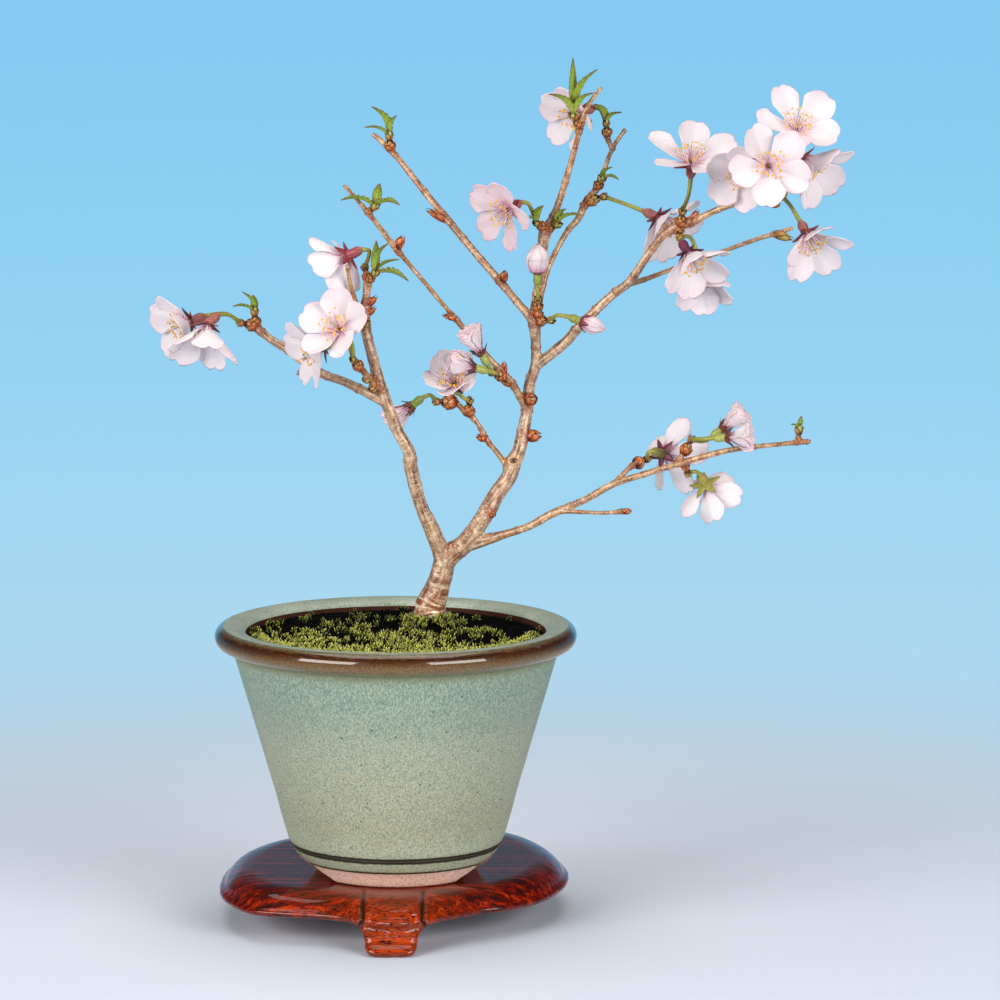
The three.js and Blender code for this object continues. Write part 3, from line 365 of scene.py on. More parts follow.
# %% Floor
FLOOR_RADIUS = 900
FLOOR_FADE = (90, 560)  # how far from the pot the floor begins to fade, and where it is gone

floor_shape = bmesh.new()
bmesh.ops.create_circle(floor_shape, segments=96, radius=FLOOR_RADIUS, cap_ends=True)
floor_mesh = meshed("floor", floor_shape)
floor_mesh.transform(INTO_FRAME)
floor = bpy.data.objects.new("floor", floor_mesh)
bpy.context.scene.collection.objects.link(floor)

paper, tree, shader, places = start_material("pale_paper_floor")
away = add(tree, "VectorMath", {0: places}, operation="LENGTH")
fade = add(tree, "MapRange", {"Value": away.outputs["Value"], "From Min": FLOOR_FADE[0],
                              "From Max": FLOOR_FADE[1], "To Min": 1, "To Max": 0},
           interpolation_type="SMOOTHSTEP").outputs["Result"]
tree.links.new(fade, shader.inputs["Alpha"])
fill(shader, {"Base Color": "#dde8fa", "Roughness": 0.9, "Specular IOR Level": 0.1})
floor_mesh.materials.append(paper)

# %% [markdown]
# ## The stand
# The stand is a slab of rosewood on three short legs, carved from one block and covered in clear
# lacquer. A carver rounds every edge, so there isn't a sharp corner anywhere. The slab is lofted through
# its outline at fourteen heights, with a thin bead low on its rim. Each leg is lofted through level
# slices: a toe that rolls out on the ground, a waist, and a flare that stays under the rim. A voxel
# remesh then melts the four into one skin, as the real one is one piece, and smoothing does the work of
# the carver's scraper.

# %% Stand outline
STAND_TOP = 17.4
SLAB_UNDERSIDE = 8.8
LEG_DEPTH = 13
LEG_POINTS = 40  # round one level slice
LEG_SQUARENESS = 0.4  # 1 makes a slice an ellipse, and 0 a rectangle
LEG_FLARE = 6.2  # from this height on a leg widens towards the slab
STAND_VOXEL = 0.62
STAND_MIDDLE = Vector((0, 12, 0))
STAND_OUTLINE = [
    (-1, -52), (9, -49), (16, -42), (27, -32), (38, -25.5), (49, -13), (56, 6), (58, 25), (56, 42),
    (51, 59), (43, 74), (31, 83), (14, 86), (-8, 82), (-28, 73.5), (-43, 64), (-52, 51), (-57.5, 35),
    (-59.5, 14), (-58.5, -7), (-53.5, -23), (-47, -32), (-36, -36), (-24, -39), (-15, -44), (-9, -49.5),
]
LEGS = [(-1, -48.5, -90), (38, 46, 38), (-38, 46, 142)]
WRAPPED = STAND_OUTLINE[-2:] + STAND_OUTLINE + STAND_OUTLINE[:2]
RIM_STEPS = 6
RIM = [Vector((x, y, 0)) for x, y in smooth_path(WRAPPED, RIM_STEPS)[2 * RIM_STEPS:-2 * RIM_STEPS - 1]]
RIM_PROFILE = [  # how far in from the rim, and at which share of the slab's half thickness
    (9, -1), (3.4, -0.98), (1.0, -0.88), (0.1, -0.72), (0, -0.56), (0.3, -0.42), (1.7, -0.26), (2.3, 0),
    (3.2, 0.28), (4.4, 0.52), (5.8, 0.72), (7.6, 0.87), (9.8, 0.96), (12, 1),
]


def slab():
    half = (STAND_TOP - SLAB_UNDERSIDE) / 2
    middle = SLAB_UNDERSIDE + half
    rings = []
    for inset, height in RIM_PROFILE:
        share = 1 - inset / 60
        rings.append([
            STAND_MIDDLE + (point - STAND_MIDDLE) * share + Vector((0, 0, middle + height * half))
            for point in RIM
        ])
    shape = new_shape()
    loft(shape, rings)
    return shape


# %% Legs of the stand
def held_under(point):
    """A place that would stick out past the slab's rim is moved in until it lies just under it."""
    from_middle = Vector((point.x, point.y, 0)) - STAND_MIDDLE
    edge = min(RIM, key=lambda place: (place - STAND_MIDDLE).angle(from_middle)) - STAND_MIDDLE
    reach = 0.985 * edge.length
    if from_middle.length <= reach:
        return point
    inner = STAND_MIDDLE + from_middle * (reach / from_middle.length)
    return Vector((inner.x, inner.y, point.z))


LEG_SLICES = [  # height, half the leg's width there, and how far its front stands back from the toe
    (0, 6.0, 1.5), (0.5, 7.3, 0.5), (1.2, 8.0, 0), (2.1, 8.4, 0.2), (3.1, 8.6, 1.1), (4.1, 8.7, 2.3),
    (5.2, 8.8, 3.0), (6.2, 9.1, 2.9), (7.2, 9.7, 2.4), (8.2, 10.8, 2.2), (9.4, 13.0, 2.4),
    (10.6, 16.5, 3.0), (12, 21.0, 3.6),
]


def leg(x, y, facing):
    """One leg through level slices, each an oblong with well-rounded corners."""
    place = Matrix.Translation((x, y, 0)) @ Matrix.Rotation(math.radians(facing + 90), 4, "Z")
    rings = []
    for height, half, back in LEG_SLICES:
        front, rear = LEG_DEPTH / 2 - back, -LEG_DEPTH / 2 + min(1.0, back)
        middle, deep = (front + rear) / 2, (front - rear) / 2
        ring = []
        for turn in (2 * math.pi * k / LEG_POINTS for k in range(LEG_POINTS)):
            across = math.copysign(abs(math.cos(turn)) ** LEG_SQUARENESS, math.cos(turn)) * half
            along = math.copysign(abs(math.sin(turn)) ** LEG_SQUARENESS, math.sin(turn)) * deep
            point = place @ Vector((across, -middle + along, height))
            ring.append(held_under(point) if height > LEG_FLARE else point)
        rings.append(ring)
    shape = new_shape()
    loft(shape, rings)
    return shape


# %% Melting the stand into one skin
stand_shape = slab()
for foot in LEGS:
    merge_into(stand_shape, leg(*foot))
stand = loose_object("stand_rosewood", stand_shape)
melt(stand, STAND_VOXEL)

# %% Carving the grooves
GROOVES = [(-10.3, 1), (9.2, -1)]  # where each groove runs, and on which side of it the wood is dished
GROOVE_FRONT = -26  # the grooves lie in front of this line


def carve(point):
    """Two grooves run down the slab's edge above the front leg, each with a dished facet at its foot. Gives
    the new place and how deep it lies in a groove."""
    x, y, z = point
    moved = Vector(point)
    depth = 0.0
    if y < GROOVE_FRONT:
        for groove, side in GROOVES:
            bent = groove - 0.22 * side * max(0, 12 - z)
            line = (math.exp(-((x - bent) / 0.8) ** 2) * min(1, max(0, (z - 7.5) / 2))
                    * min(1, (GROOVE_FRONT - y) / 8))
            dish = math.exp(-((x - bent - 2.4 * side) / 1.7) ** 2 - ((z - 10.5) / 2.4) ** 2)
            moved.y += 1.7 * line + 1.1 * dish
            moved.z -= 1.0 * line * max(0, min(1, (z - 13) / 3))
            depth = max(depth, line)
    moved.z = max(0.0, moved.z)
    return moved, depth


stand.data.attributes.new("groove", "FLOAT", "POINT")
grooves = stand.data.attributes["groove"].data
for number, vert in enumerate(stand.data.vertices):
    vert.co, grooves[number].value = carve(vert.co)

# %% [markdown]
# Rosewood is a dense, oily, reddish-brown timber with nearly black veins and short dark pores that all
# run with the grain. Under thick clear lacquer it looks wet: the wood scatters the colour and the
# lacquer mirrors the lamps. So the wood is a soft base, and the lacquer is the shader's coat. Round the
# front leg the wood is painted lighter and warmer, a painted light, and the two grooves get painted shade.

# %% Lacquered rosewood
rosewood, tree, shader, places = start_material("lacquered_rosewood")
VEIN_LENGTH, VEIN_WIDTH = 60, 1.9
PORE_LENGTH, PORE_WIDTH = 2.6, 0.42
FRONT_LEG = (-1, -54, 7)

veins_at = add(tree, "Mapping", {"Vector": places,
                                 "Scale": (1 / VEIN_LENGTH, 1 / VEIN_WIDTH, 1 / VEIN_WIDTH)}).outputs[0]
veins = add(tree, "TexNoise", {"Vector": veins_at, "Scale": 1, "Detail": 4,
                               "Distortion": 0.2}).outputs["Fac"]
timber = add(tree, "ValToRGB", {"Fac": veins},
             stops=[(0.3, "#200200"), (0.44, "#540a00"), (0.55, "#821500"),
                    (0.7, "#b43604")]).outputs["Color"]
# Painted light: the wood is made lighter and warmer round the front leg.
from_leg = add(tree, "VectorMath", {0: places, 1: FRONT_LEG}, operation="DISTANCE")
front_leg_painted_light = add(tree, "MapRange", {"Value": from_leg.outputs["Value"], "From Min": 9, "From Max": 40,
                                 "To Min": 0.3, "To Max": 0}).outputs["Result"]
front_leg_lit_timber = add(tree, "Mix", {0: front_leg_painted_light, 6: timber, 7: "#c8500f"}, data_type="RGBA").outputs[2]
pores_at = add(tree, "Mapping", {"Vector": places,
                                 "Scale": (1 / PORE_LENGTH, 1 / PORE_WIDTH, 1 / PORE_WIDTH)}).outputs[0]
pores = add(tree, "TexNoise", {"Vector": pores_at, "Scale": 1, "Detail": 2}).outputs["Fac"]
pore_mask = add(tree, "MapRange", {"Value": pores, "From Min": 0.545, "From Max": 0.6}).outputs["Result"]
speckled = add(tree, "Mix", {0: pore_mask, 6: front_leg_lit_timber, 7: "#230602"}, data_type="RGBA").outputs[2]
# Painted shade: the wood is darkened to near black in the two grooves.
in_groove = add(tree, "Attribute", attribute_name="groove").outputs["Fac"]
painted_groove_shade = add(tree, "MapRange", {"Value": in_groove, "From Min": 0.25, "From Max": 0.8, "To Min": 0,
                                "To Max": 0.9}).outputs["Result"]
groove_shaded_wood = add(tree, "Mix", {0: painted_groove_shade, 6: speckled, 7: "#140301"}, data_type="RGBA").outputs[2]
fill(shader, {"Base Color": groove_shaded_wood, "Roughness": 0.45, "Specular IOR Level": 0.1, "Coat Weight": 0.65,
              "Coat Roughness": 0.04})
grain = add(tree, "Bump", {"Height": pores, "Distance": 0.05 * MM, "Strength": 0.4}).outputs["Normal"]
tree.links.new(grain, shader.inputs["Normal"])

finish_piece(stand, [rosewood], "wood_lacquer", "stand")

# %% [markdown]
# ## The pot
# The pot was thrown on a wheel, so its wall is one profile spun round the axis: a foot ring, a hard edge
# with two incised lines, a straight flaring wall, a rolled rim and the inside. Three bell-shaped arches
# were cut out of the soft clay of the foot. A Boolean with three extruded cutters does the same here.

# %% Pot profile
POT_FOOT = 17.7
FOOT_RADIUS, FOOT_RING, FOOT_HOLLOW = 27.5, 5, 6.4
BELLY_RADIUS, BELLY_HEIGHT = 35, 28
NECK_RADIUS, NECK_HEIGHT = 53, 89.5
WALL = 4.5
FLOOR_TOP = 30.5
BEAD_RADIUS = 3.7
BEAD_CENTRE = (56.6, 97.6)
LIP_INNER = 50
DRAIN_RADIUS = 7.5
RING_LEVELS = (30, 31.5, 34, 38, 46, 56, 66, 76, 84, 88, 90.5)
LEDGE = 40  # below this height the wall is a little thicker, down to the edge over the foot
POT_STEPS = 160
BEAD_START, BEAD_END, BEAD_STEPS = -118, 90, 18


def wall_radius(z):
    return BELLY_RADIUS + (NECK_RADIUS - BELLY_RADIUS) * (z - BELLY_HEIGHT) / (NECK_HEIGHT - BELLY_HEIGHT)


def pot_profile():
    hollow_top = POT_FOOT + FOOT_HOLLOW
    ring_inner = FOOT_RADIUS - FOOT_RING
    points = [(DRAIN_RADIUS, hollow_top), (ring_inner - 1.6, hollow_top),
              (ring_inner - 0.7, hollow_top - 0.6), (ring_inner, POT_FOOT + 0.6),
              (ring_inner + 0.6, POT_FOOT), (FOOT_RADIUS - 0.7, POT_FOOT), (FOOT_RADIUS, POT_FOOT + 0.5)]
    points += [(28.2, 19.2), (30, 21.1), (31.5, 22.9), (31.9, 23.1), (32.7, 24.1), (33.6, 25.4)]
    points += [(34.2, 26.3), (34.5, 26.8), (34.3, 27.15), (34.8, 27.5), (34.95, 27.85), (34.75, 28.2),
               (35.2, 28.5), (35.5, 28.9)]
    points += [(wall_radius(z) + (0.5 if z < LEDGE else 0.2), z) for z in RING_LEVELS]
    for step in range(BEAD_STEPS + 1):
        angle = math.radians(BEAD_START + (BEAD_END - BEAD_START) * step / BEAD_STEPS)
        points.append((BEAD_CENTRE[0] + BEAD_RADIUS * math.cos(angle),
                       BEAD_CENTRE[1] + BEAD_RADIUS * math.sin(angle)))
    points += [(54.6, 101.2), (52.6, 100.9), (51.2, 100.4), (50.4, 99.8), (LIP_INNER, 99), (49.5, 97)]
    points += [(wall_radius(90) - WALL, 90), (wall_radius(36) - WALL, 36),
               (wall_radius(33) - WALL - 0.8, 32.4), (wall_radius(FLOOR_TOP) - WALL - 3, FLOOR_TOP)]
    points += [(DRAIN_RADIUS + 0.6, FLOOR_TOP), (DRAIN_RADIUS, FLOOR_TOP - 0.6), (DRAIN_RADIUS, hollow_top)]
    return points


pot_shape = new_shape()
turned(pot_shape, pot_profile(), POT_STEPS)
pot = loose_object("pot_stoneware", pot_shape)

# %% Cutting the arches in the foot
ARCH_WIDTH, ARCH_RISE = 24, 8.4
ARCH_START, ARCH_REACH = 16, 26  # how far from the axis a cutter begins, and how long it is
ARCHES = (-20, 90, 200)  # the directions of the three openings, in degrees


def arch_cutter(direction):
    """A bell-shaped opening between two of the pot's three feet, as a block that reaches outwards."""
    half = ARCH_WIDTH / 2
    corners = [(-half, -1, 0), (-half * 0.86, 0.7, 0), (-half * 0.68, ARCH_RISE * 0.3, 0),
               (-half * 0.5, ARCH_RISE * 0.55, 0), (-half * 0.3, ARCH_RISE * 0.85, 0), (0, ARCH_RISE, 0)]
    left = [(x, z) for x, z, _ in smooth_path(corners, 3)]
    view = left + [(-x, z) for x, z in reversed(left[:-1])]
    shape = new_shape()
    face = shape.faces.new([shape.verts.new((x, ARCH_START, z)) for x, z in view])
    grown = bmesh.ops.extrude_face_region(shape, geom=[face])["geom"]
    far = [item for item in grown if isinstance(item, bmesh.types.BMVert)]
    bmesh.ops.translate(shape, verts=far, vec=(0, ARCH_REACH, 0))
    place = Matrix.Translation((0, 0, POT_FOOT)) @ Matrix.Rotation(math.radians(direction - 90), 4, "Z")
    bmesh.ops.transform(shape, matrix=place, verts=shape.verts)
    return loose_object("arch_cutter", shape)


cutters = [arch_cutter(direction) for direction in ARCHES]
for cutter in cutters:
    cut = pot.modifiers.new("arch", "BOOLEAN")
    cut.object = cutter
    cut.operation = "DIFFERENCE"
bake_modifiers(pot)
for cutter in cutters:
    bpy.data.objects.remove(cutter)

# %% [markdown]
# One pot, three finishes, as the potter left them: bare stoneware where it stood on the kiln shelf and
# inside, a celadon-like glaze over the wall, and a band of iron glaze on the rolled rim, where it stays
# glossy and brown. The celadon broke into dark and light specks, ran in pale streaks on the upper wall,
# turned olive just under the rim, and lies black in the two incised lines and along its lower end. Each
# finish is a material of its own, and faces are given theirs by where they lie on the profile.

# %% Bare stoneware
clay, tree, shader, places = start_material("bare_stoneware")
GRIT = 0.7
height = add(tree, "SeparateXYZ", {0: places}).outputs["Z"]
sand = add(tree, "TexNoise", {"Vector": places, "Scale": 1 / GRIT, "Detail": 3,
                              "Roughness": 0.7}).outputs["Fac"]
sandy = add(tree, "ValToRGB", {"Fac": sand},
            stops=[(0.3, "#b9866f"), (0.46, "#edc3af"), (0.6, "#fadccd"),
                   (0.74, "#fde8de")]).outputs["Color"]
wash = add(tree, "MapRange", {"Value": height, "From Min": 91, "From Max": 95}).outputs["Result"]
washed = add(tree, "Mix", {0: wash, 6: sandy, 7: "#3a1c12"}, data_type="RGBA").outputs[2]
fill(shader, {"Base Color": washed, "Roughness": 0.85, "Specular IOR Level": 0.2})
grit = add(tree, "Bump", {"Height": sand, "Distance": 0.12 * MM, "Strength": 0.7}).outputs["Normal"]
tree.links.new(grit, shader.inputs["Normal"])

# %% Celadon glaze
celadon, tree, shader, places = start_material("celadon_glaze")
SPECK = 0.45
STREAK_LENGTH = 2.6
GLAZE_LINES = 27.85  # the middle of the two incised lines
GLAZE_END = 23.1
height = add(tree, "SeparateXYZ", {0: places}).outputs["Z"]
clouds = add(tree, "TexNoise", {"Vector": places, "Scale": 1 / 9, "Detail": 3}).outputs["Fac"]
streaks_at = add(tree, "Mapping", {"Vector": places,
                                   "Scale": (1 / SPECK, 1 / SPECK, 1 / STREAK_LENGTH)}).outputs["Vector"]
streaks = add(tree, "TexNoise", {"Vector": streaks_at, "Scale": 1, "Detail": 3}).outputs["Fac"]
wander = add(tree, "Math", {0: clouds, 1: 16.0, 2: height}, operation="MULTIPLY_ADD").outputs[0]
glaze_level = add(tree, "MapRange", {"Value": wander, "From Min": 30, "From Max": 110}).outputs["Result"]
bands = add(tree, "ValToRGB", {"Fac": glaze_level},
            stops=[(0.0, "#a3a286"), (0.1, "#a1a48b"), (0.2, "#97957a"), (0.4, "#9c9d86"),
                   (0.56, "#979c89"), (0.67, "#849281"), (0.8, "#788c7f"), (0.9, "#7d8f7a"),
                   (1.0, "#a9b1a6")]).outputs["Color"]
specks_at = add(tree, "Mapping", {"Vector": places, "Scale": (1, 1, 0.7)}).outputs["Vector"]
specks = add(tree, "TexNoise", {"Vector": specks_at, "Scale": 1 / SPECK, "Detail": 1}).outputs["Fac"]
dark_share = add(tree, "MapRange", {"Value": specks, "From Min": 0.54, "From Max": 0.63, "To Min": 0,
                                    "To Max": 0.75}).outputs["Result"]
speckled = add(tree, "Mix", {0: dark_share, 6: bands, 7: "#567a70"}, data_type="RGBA").outputs[2]
light_share = add(tree, "MapRange", {"Value": specks, "From Min": 0.44, "From Max": 0.36, "To Min": 0,
                                     "To Max": 0.42}).outputs["Result"]
flecked = add(tree, "Mix", {0: light_share, 6: speckled, 7: "#bcc0a6"}, data_type="RGBA").outputs[2]
upper = add(tree, "MapRange", {"Value": height, "From Min": 58, "From Max": 84}).outputs["Result"]
streaked = add(tree, "MapRange", {"Value": streaks, "From Min": 0.51, "From Max": 0.6, "To Min": 0,
                                  "To Max": 0.7}).outputs["Result"]
streak_share = add(tree, "Math", {0: streaked, 1: upper}, operation="MULTIPLY").outputs[0]
running = add(tree, "Mix", {0: streak_share, 6: flecked, 7: "#a3b3a0"}, data_type="RGBA").outputs[2]
dots = add(tree, "TexVoronoi", {"Vector": places, "Scale": 1 / 4.5})
dot_mask = add(tree, "MapRange", {"Value": dots.outputs["Distance"], "From Min": 0.06, "From Max": 0.09,
                                  "To Min": 0.9, "To Max": 0}).outputs["Result"]
dotted = add(tree, "Mix", {0: dot_mask, 6: running, 7: "#37443b"}, data_type="RGBA").outputs[2]
ragged = add(tree, "TexNoise", {"Vector": places, "Scale": 1 / 0.6, "Detail": 2}).outputs["Fac"]
uneven = add(tree, "Math", {0: ragged, 1: 0.7, 2: height}, operation="MULTIPLY_ADD").outputs[0]
from_lines = add(tree, "Math", {0: uneven, 1: GLAZE_LINES + 0.35}, operation="SUBTRACT").outputs[0]
lines_away = add(tree, "Math", {0: from_lines}, operation="ABSOLUTE").outputs[0]
line_colour = add(tree, "ValToRGB", {"Fac": lines_away},
                  stops=[(0.0, "#5a3c28"), (0.05, "#3c2b1f"), (0.16, "#171311"),
                         (1.0, "#1b1613")]).outputs["Color"]
line_mask = add(tree, "MapRange", {"Value": lines_away, "From Min": 0.9, "From Max": 1.2, "To Min": 0.95,
                                   "To Max": 0}).outputs["Result"]
lined = add(tree, "Mix", {0: line_mask, 6: dotted, 7: line_colour}, data_type="RGBA").outputs[2]
end_mask = add(tree, "MapRange", {"Value": uneven, "From Min": GLAZE_END + 0.8,
                                  "From Max": GLAZE_END + 1.3, "To Min": 0.95,
                                  "To Max": 0}).outputs["Result"]
ended = add(tree, "Mix", {0: end_mask, 6: lined, 7: "#231b15"}, data_type="RGBA").outputs[2]
under_rim = add(tree, "MapRange", {"Value": height, "From Min": 89.5, "From Max": 93.5, "To Min": 0,
                                   "To Max": 0.75}, interpolation_type="SMOOTHSTEP").outputs["Result"]
below_bead = add(tree, "MapRange", {"Value": height, "From Min": 98, "From Max": 96}).outputs["Result"]
fade_share = add(tree, "Math", {0: under_rim, 1: below_bead}, operation="MULTIPLY").outputs[0]
faded = add(tree, "Mix", {0: fade_share, 6: ended, 7: "#6f6c48"}, data_type="RGBA").outputs[2]
fill(shader, {"Base Color": faded, "Roughness": 0.45, "Specular IOR Level": 0.2})
pitting = add(tree, "Bump", {"Height": specks, "Distance": 0.05 * MM, "Strength": 0.5}).outputs["Normal"]
tree.links.new(pitting, shader.inputs["Normal"])

# %% Iron glaze of the rim
iron, tree, shader, places = start_material("iron_rim_glaze")
height = add(tree, "SeparateXYZ", {0: places}).outputs["Z"]
flows_at = add(tree, "Mapping", {"Vector": places,
                                 "Scale": (1 / 2.6, 1 / 2.6, 1 / 0.5)}).outputs["Vector"]
flows = add(tree, "TexNoise", {"Vector": flows_at, "Scale": 1, "Detail": 4,
                               "Roughness": 0.7}).outputs["Fac"]
uneven = add(tree, "Math", {0: flows, 1: 1.6, 2: height}, operation="MULTIPLY_ADD").outputs[0]
rim_level = add(tree, "MapRange", {"Value": uneven, "From Min": 94.2,
                                   "From Max": 102.2}).outputs["Result"]
browns = add(tree, "ValToRGB", {"Fac": rim_level},
             stops=[(0.0, "#8e9275"), (0.14, "#857550"), (0.3, "#7d6238"), (0.5, "#75542b"),
                    (0.68, "#4f2f14"), (0.82, "#3a1d0e"), (0.92, "#6d5a3a"),
                    (1.0, "#97a089")]).outputs["Color"]
rust = add(tree, "MapRange", {"Value": flows, "From Min": 0.55, "From Max": 0.66, "To Min": 0,
                              "To Max": 0.7}).outputs["Result"]
high = add(tree, "MapRange", {"Value": height, "From Min": 98.2, "From Max": 99.2}).outputs["Result"]
rust_share = add(tree, "Math", {0: rust, 1: high}, operation="MULTIPLY").outputs[0]
rusty = add(tree, "Mix", {0: rust_share, 6: browns, 7: "#8f4420"}, data_type="RGBA").outputs[2]
grains = add(tree, "TexNoise", {"Vector": places, "Scale": 1 / SPECK, "Detail": 2}).outputs["Fac"]
grain_tone = add(tree, "ValToRGB", {"Fac": grains}, stops=[(0.38, 0.42), (0.62, 1.0)]).outputs["Color"]
grainy = add(tree, "Mix", {0: 1.0, 6: rusty, 7: grain_tone}, data_type="RGBA",
             blend_type="MULTIPLY").outputs[2]
fill(shader, {"Base Color": grainy, "Roughness": 0.3, "Specular IOR Level": 0.15, "Coat Weight": 1.0,
              "Coat Roughness": 0.03, "Coat IOR": 1.5})

# %% Giving the pot's faces their finish
CLAY, CELADON, IRON = 0, 1, 2
INNER_GLAZE = 98.2  # how far the rim's glaze runs down on the inside
IRON_LOWEST, IRON_HIGHEST, IRON_INNER = 93.9, 101.25, 56.2  # the band of iron glaze on the bead's outside
LIP_IRON_TOP, LIP_IRON_OUTER = 99.4, 50.6  # the thin iron line at the inner edge of the lip


def pot_finish(centre):
    radius = math.hypot(centre.x, centre.y)
    outside = radius > (wall_radius(centre.z) - 2 if centre.z > BELLY_HEIGHT else FOOT_RADIUS)
    if centre.z < GLAZE_END or (not outside and centre.z < INNER_GLAZE):
        return CLAY
    if IRON_LOWEST < centre.z < IRON_HIGHEST and radius > IRON_INNER:
        return IRON
    if radius < LIP_IRON_OUTER and INNER_GLAZE <= centre.z < LIP_IRON_TOP:
        return IRON
    return CELADON


for face in pot.data.polygons:
    face.material_index = pot_finish(face.center)
finish_piece(pot, [clay, celadon, iron], "glaze", "pot", crease=40)

# %% [markdown]
# ## Soil
# The pot is filled with fine black crumbs, pressed down and nearly hidden by moss. The body is a turned
# form with a low mound round the trunk. Crumbs a millimetre across cover its face.

# %% Soil body
SOIL_EDGE, SOIL_CROWN = 97.5, 99.2
MOUND_RISE, MOUND_SPREAD = 2.4, 11
TRUNK_FOOT = (11.3, 12)
SOIL_BOTTOM = 30.8
MESH_ROOM, MESH_TOP = 12.4, 33  # the drainage mesh lies in a shallow hollow under the soil
SOIL_STEPS = 110
CRUMBS, CRUMB_REACH = 2600, 47.6


def from_trunk(x, y):
    return math.hypot(x - TRUNK_FOOT[0], y - TRUNK_FOOT[1])


def soil_height(x, y):
    """Height of the soil's face at a place, without its crumbs."""
    away = math.hypot(x, y)
    crown = SOIL_EDGE + (SOIL_CROWN - SOIL_EDGE) * max(0.0, 1 - (away / 49) ** 2) ** 0.6
    near = from_trunk(x, y) / MOUND_SPREAD
    return crown + MOUND_RISE * math.exp(-near * near)


def inside(z):
    return wall_radius(z) - WALL - 0.3


soil_shape = new_shape()
soil_line = [(MESH_ROOM, SOIL_BOTTOM), (inside(FLOOR_TOP) - 3.2, SOIL_BOTTOM), (inside(36) - 0.2, 36.2),
             (inside(60), 60), (inside(90) - 0.1, 90), (inside(90) + 0.4, SOIL_EDGE)]
soil_line += [(radius, SOIL_EDGE + 0.1) for radius in range(48, 0, -1)]
soil_line += [(0.5, SOIL_EDGE + 0.1), (0.5, MESH_TOP), (MESH_ROOM, MESH_TOP), (MESH_ROOM, SOIL_BOTTOM)]
turned(soil_shape, soil_line, SOIL_STEPS)
for vert in soil_shape.verts:
    if vert.co.z > SOIL_EDGE:
        x, y, _ = vert.co
        uneven = noise.noise(vert.co * 0.9) * 0.45 + noise.noise(vert.co * 0.25) * 0.35
        vert.co.z = soil_height(x, y) + uneven * (1 if math.hypot(x, y) < 47 else 0.2)

# %% Crumbs
scatter_seed = random.Random(41)
crumb_shape = new_shape()
bmesh.ops.create_icosphere(crumb_shape, subdivisions=1, radius=0.5)
crumb = meshed("crumb", crumb_shape)


def scatter(shape, template, place):
    """One more copy of a small mesh in a large shape."""
    copy = template.copy()
    copy.transform(place)
    shape.from_mesh(copy)
    bpy.data.meshes.remove(copy)


def spot_on_soil(reach):
    """A random place on the soil's face, evenly spread out to the given radius."""
    radius, turn = reach * math.sqrt(scatter_seed.random()), scatter_seed.uniform(0, 2 * math.pi)
    x, y = radius * math.cos(turn), radius * math.sin(turn)
    return Vector((x, y, soil_height(x, y)))


for _ in range(CRUMBS):
    spot = spot_on_soil(CRUMB_REACH)
    size = scatter_seed.uniform(0.6, 1.7)
    spin = Matrix.Rotation(scatter_seed.uniform(0, 6), 4, (0.4, 0.5, scatter_seed.random()))
    squash = Matrix.Diagonal((size, size * scatter_seed.uniform(0.6, 1), size * 0.7, 1))
    scatter(soil_shape, crumb, Matrix.Translation(spot) @ spin @ squash)
bpy.data.meshes.remove(crumb)
soil = loose_object("soil_crumbs", soil_shape)

# %% Damp potting soil
loam, tree, shader, places = start_material("damp_potting_soil")
clods = add(tree, "TexNoise", {"Vector": places, "Scale": 1 / 1.3, "Detail": 4,
                               "Roughness": 0.7}).outputs["Fac"]
dark = add(tree, "ValToRGB", {"Fac": clods},
           stops=[(0.3, "#010101"), (0.55, "#040405"), (0.75, "#14110c")]).outputs["Color"]
fill(shader, {"Base Color": dark, "Roughness": 0.8, "Specular IOR Level": 0.05})
lumps = add(tree, "Bump", {"Height": clods, "Distance": 0.3 * MM, "Strength": 1}).outputs["Normal"]
tree.links.new(lumps, shader.inputs["Normal"])
finish_piece(soil, [loam], "soil", "soil")

# %% [markdown]
# ## Moss
# Hair moss grows in upright shoots, each a star of narrow pointed leaves when seen from above. It stands
# thick at the front of the pot and round the trunk, and thins out towards the back and the right, where
# black soil shows between the shoots. A taller tuft leans on the trunk, and two rows line the rim along
# the front. Three shoots are modelled, and copied in many sizes.

# %% One moss shoot
GOLDEN_TURN = 2.4  # the golden angle in radians, by which plants set each next leaf further round


def moss_shoot(leaves, spread, seed):
    pick = random.Random(seed)
    shape = new_shape()
    along = shape.verts.layers.float["along"]
    for number in range(leaves):
        level = number / leaves
        lean = math.radians(spread * (1 - 0.75 * level) + pick.uniform(-8, 8))
        turn = number * GOLDEN_TURN + pick.uniform(-0.2, 0.2)
        length = pick.uniform(0.8, 1.15) * (0.75 + 0.25 * level)
        made = bmesh.ops.create_cone(shape, segments=3, radius1=0.25, radius2=0.03, depth=length,
                                     cap_ends=True)["verts"]
        for vert in made:
            vert[along] = 0.0 if vert.co.z < 0 else 1.0
            vert.co.y *= 0.5
        place = (Matrix.Translation((0, 0, 0.5 * level)) @ Matrix.Rotation(turn, 4, "Z")
                 @ Matrix.Rotation(lean, 4, "Y") @ Matrix.Translation((0, 0, length / 2)))
        bmesh.ops.transform(shape, matrix=place, verts=made)
    return meshed("shoot", shape)


shoots = [moss_shoot(8, 58, 1), moss_shoot(7, 42, 2), moss_shoot(8, 68, 3)]

# %% Planting the moss
MOSS_TRIES, MOSS_REACH = 2100, 48
TUFT_SHOOTS = 34
RIM_ROWS, ROW_SHOOTS = (47.6, 45.4), 150
ROW_START, ROW_TURN = -172, 164  # degrees along the front of the rim
moss_shape = new_shape()
planted = 0


def plant(x, y, size, tilt):
    spot = Vector((x, y, soil_height(x, y) - 0.2))
    lean = Matrix.Rotation(tilt, 4, "X") @ Matrix.Rotation(scatter_seed.uniform(0, 6), 4, "Z")
    scatter(moss_shape, scatter_seed.choice(shoots),
            Matrix.Translation(spot) @ lean @ Matrix.Scale(size, 4))


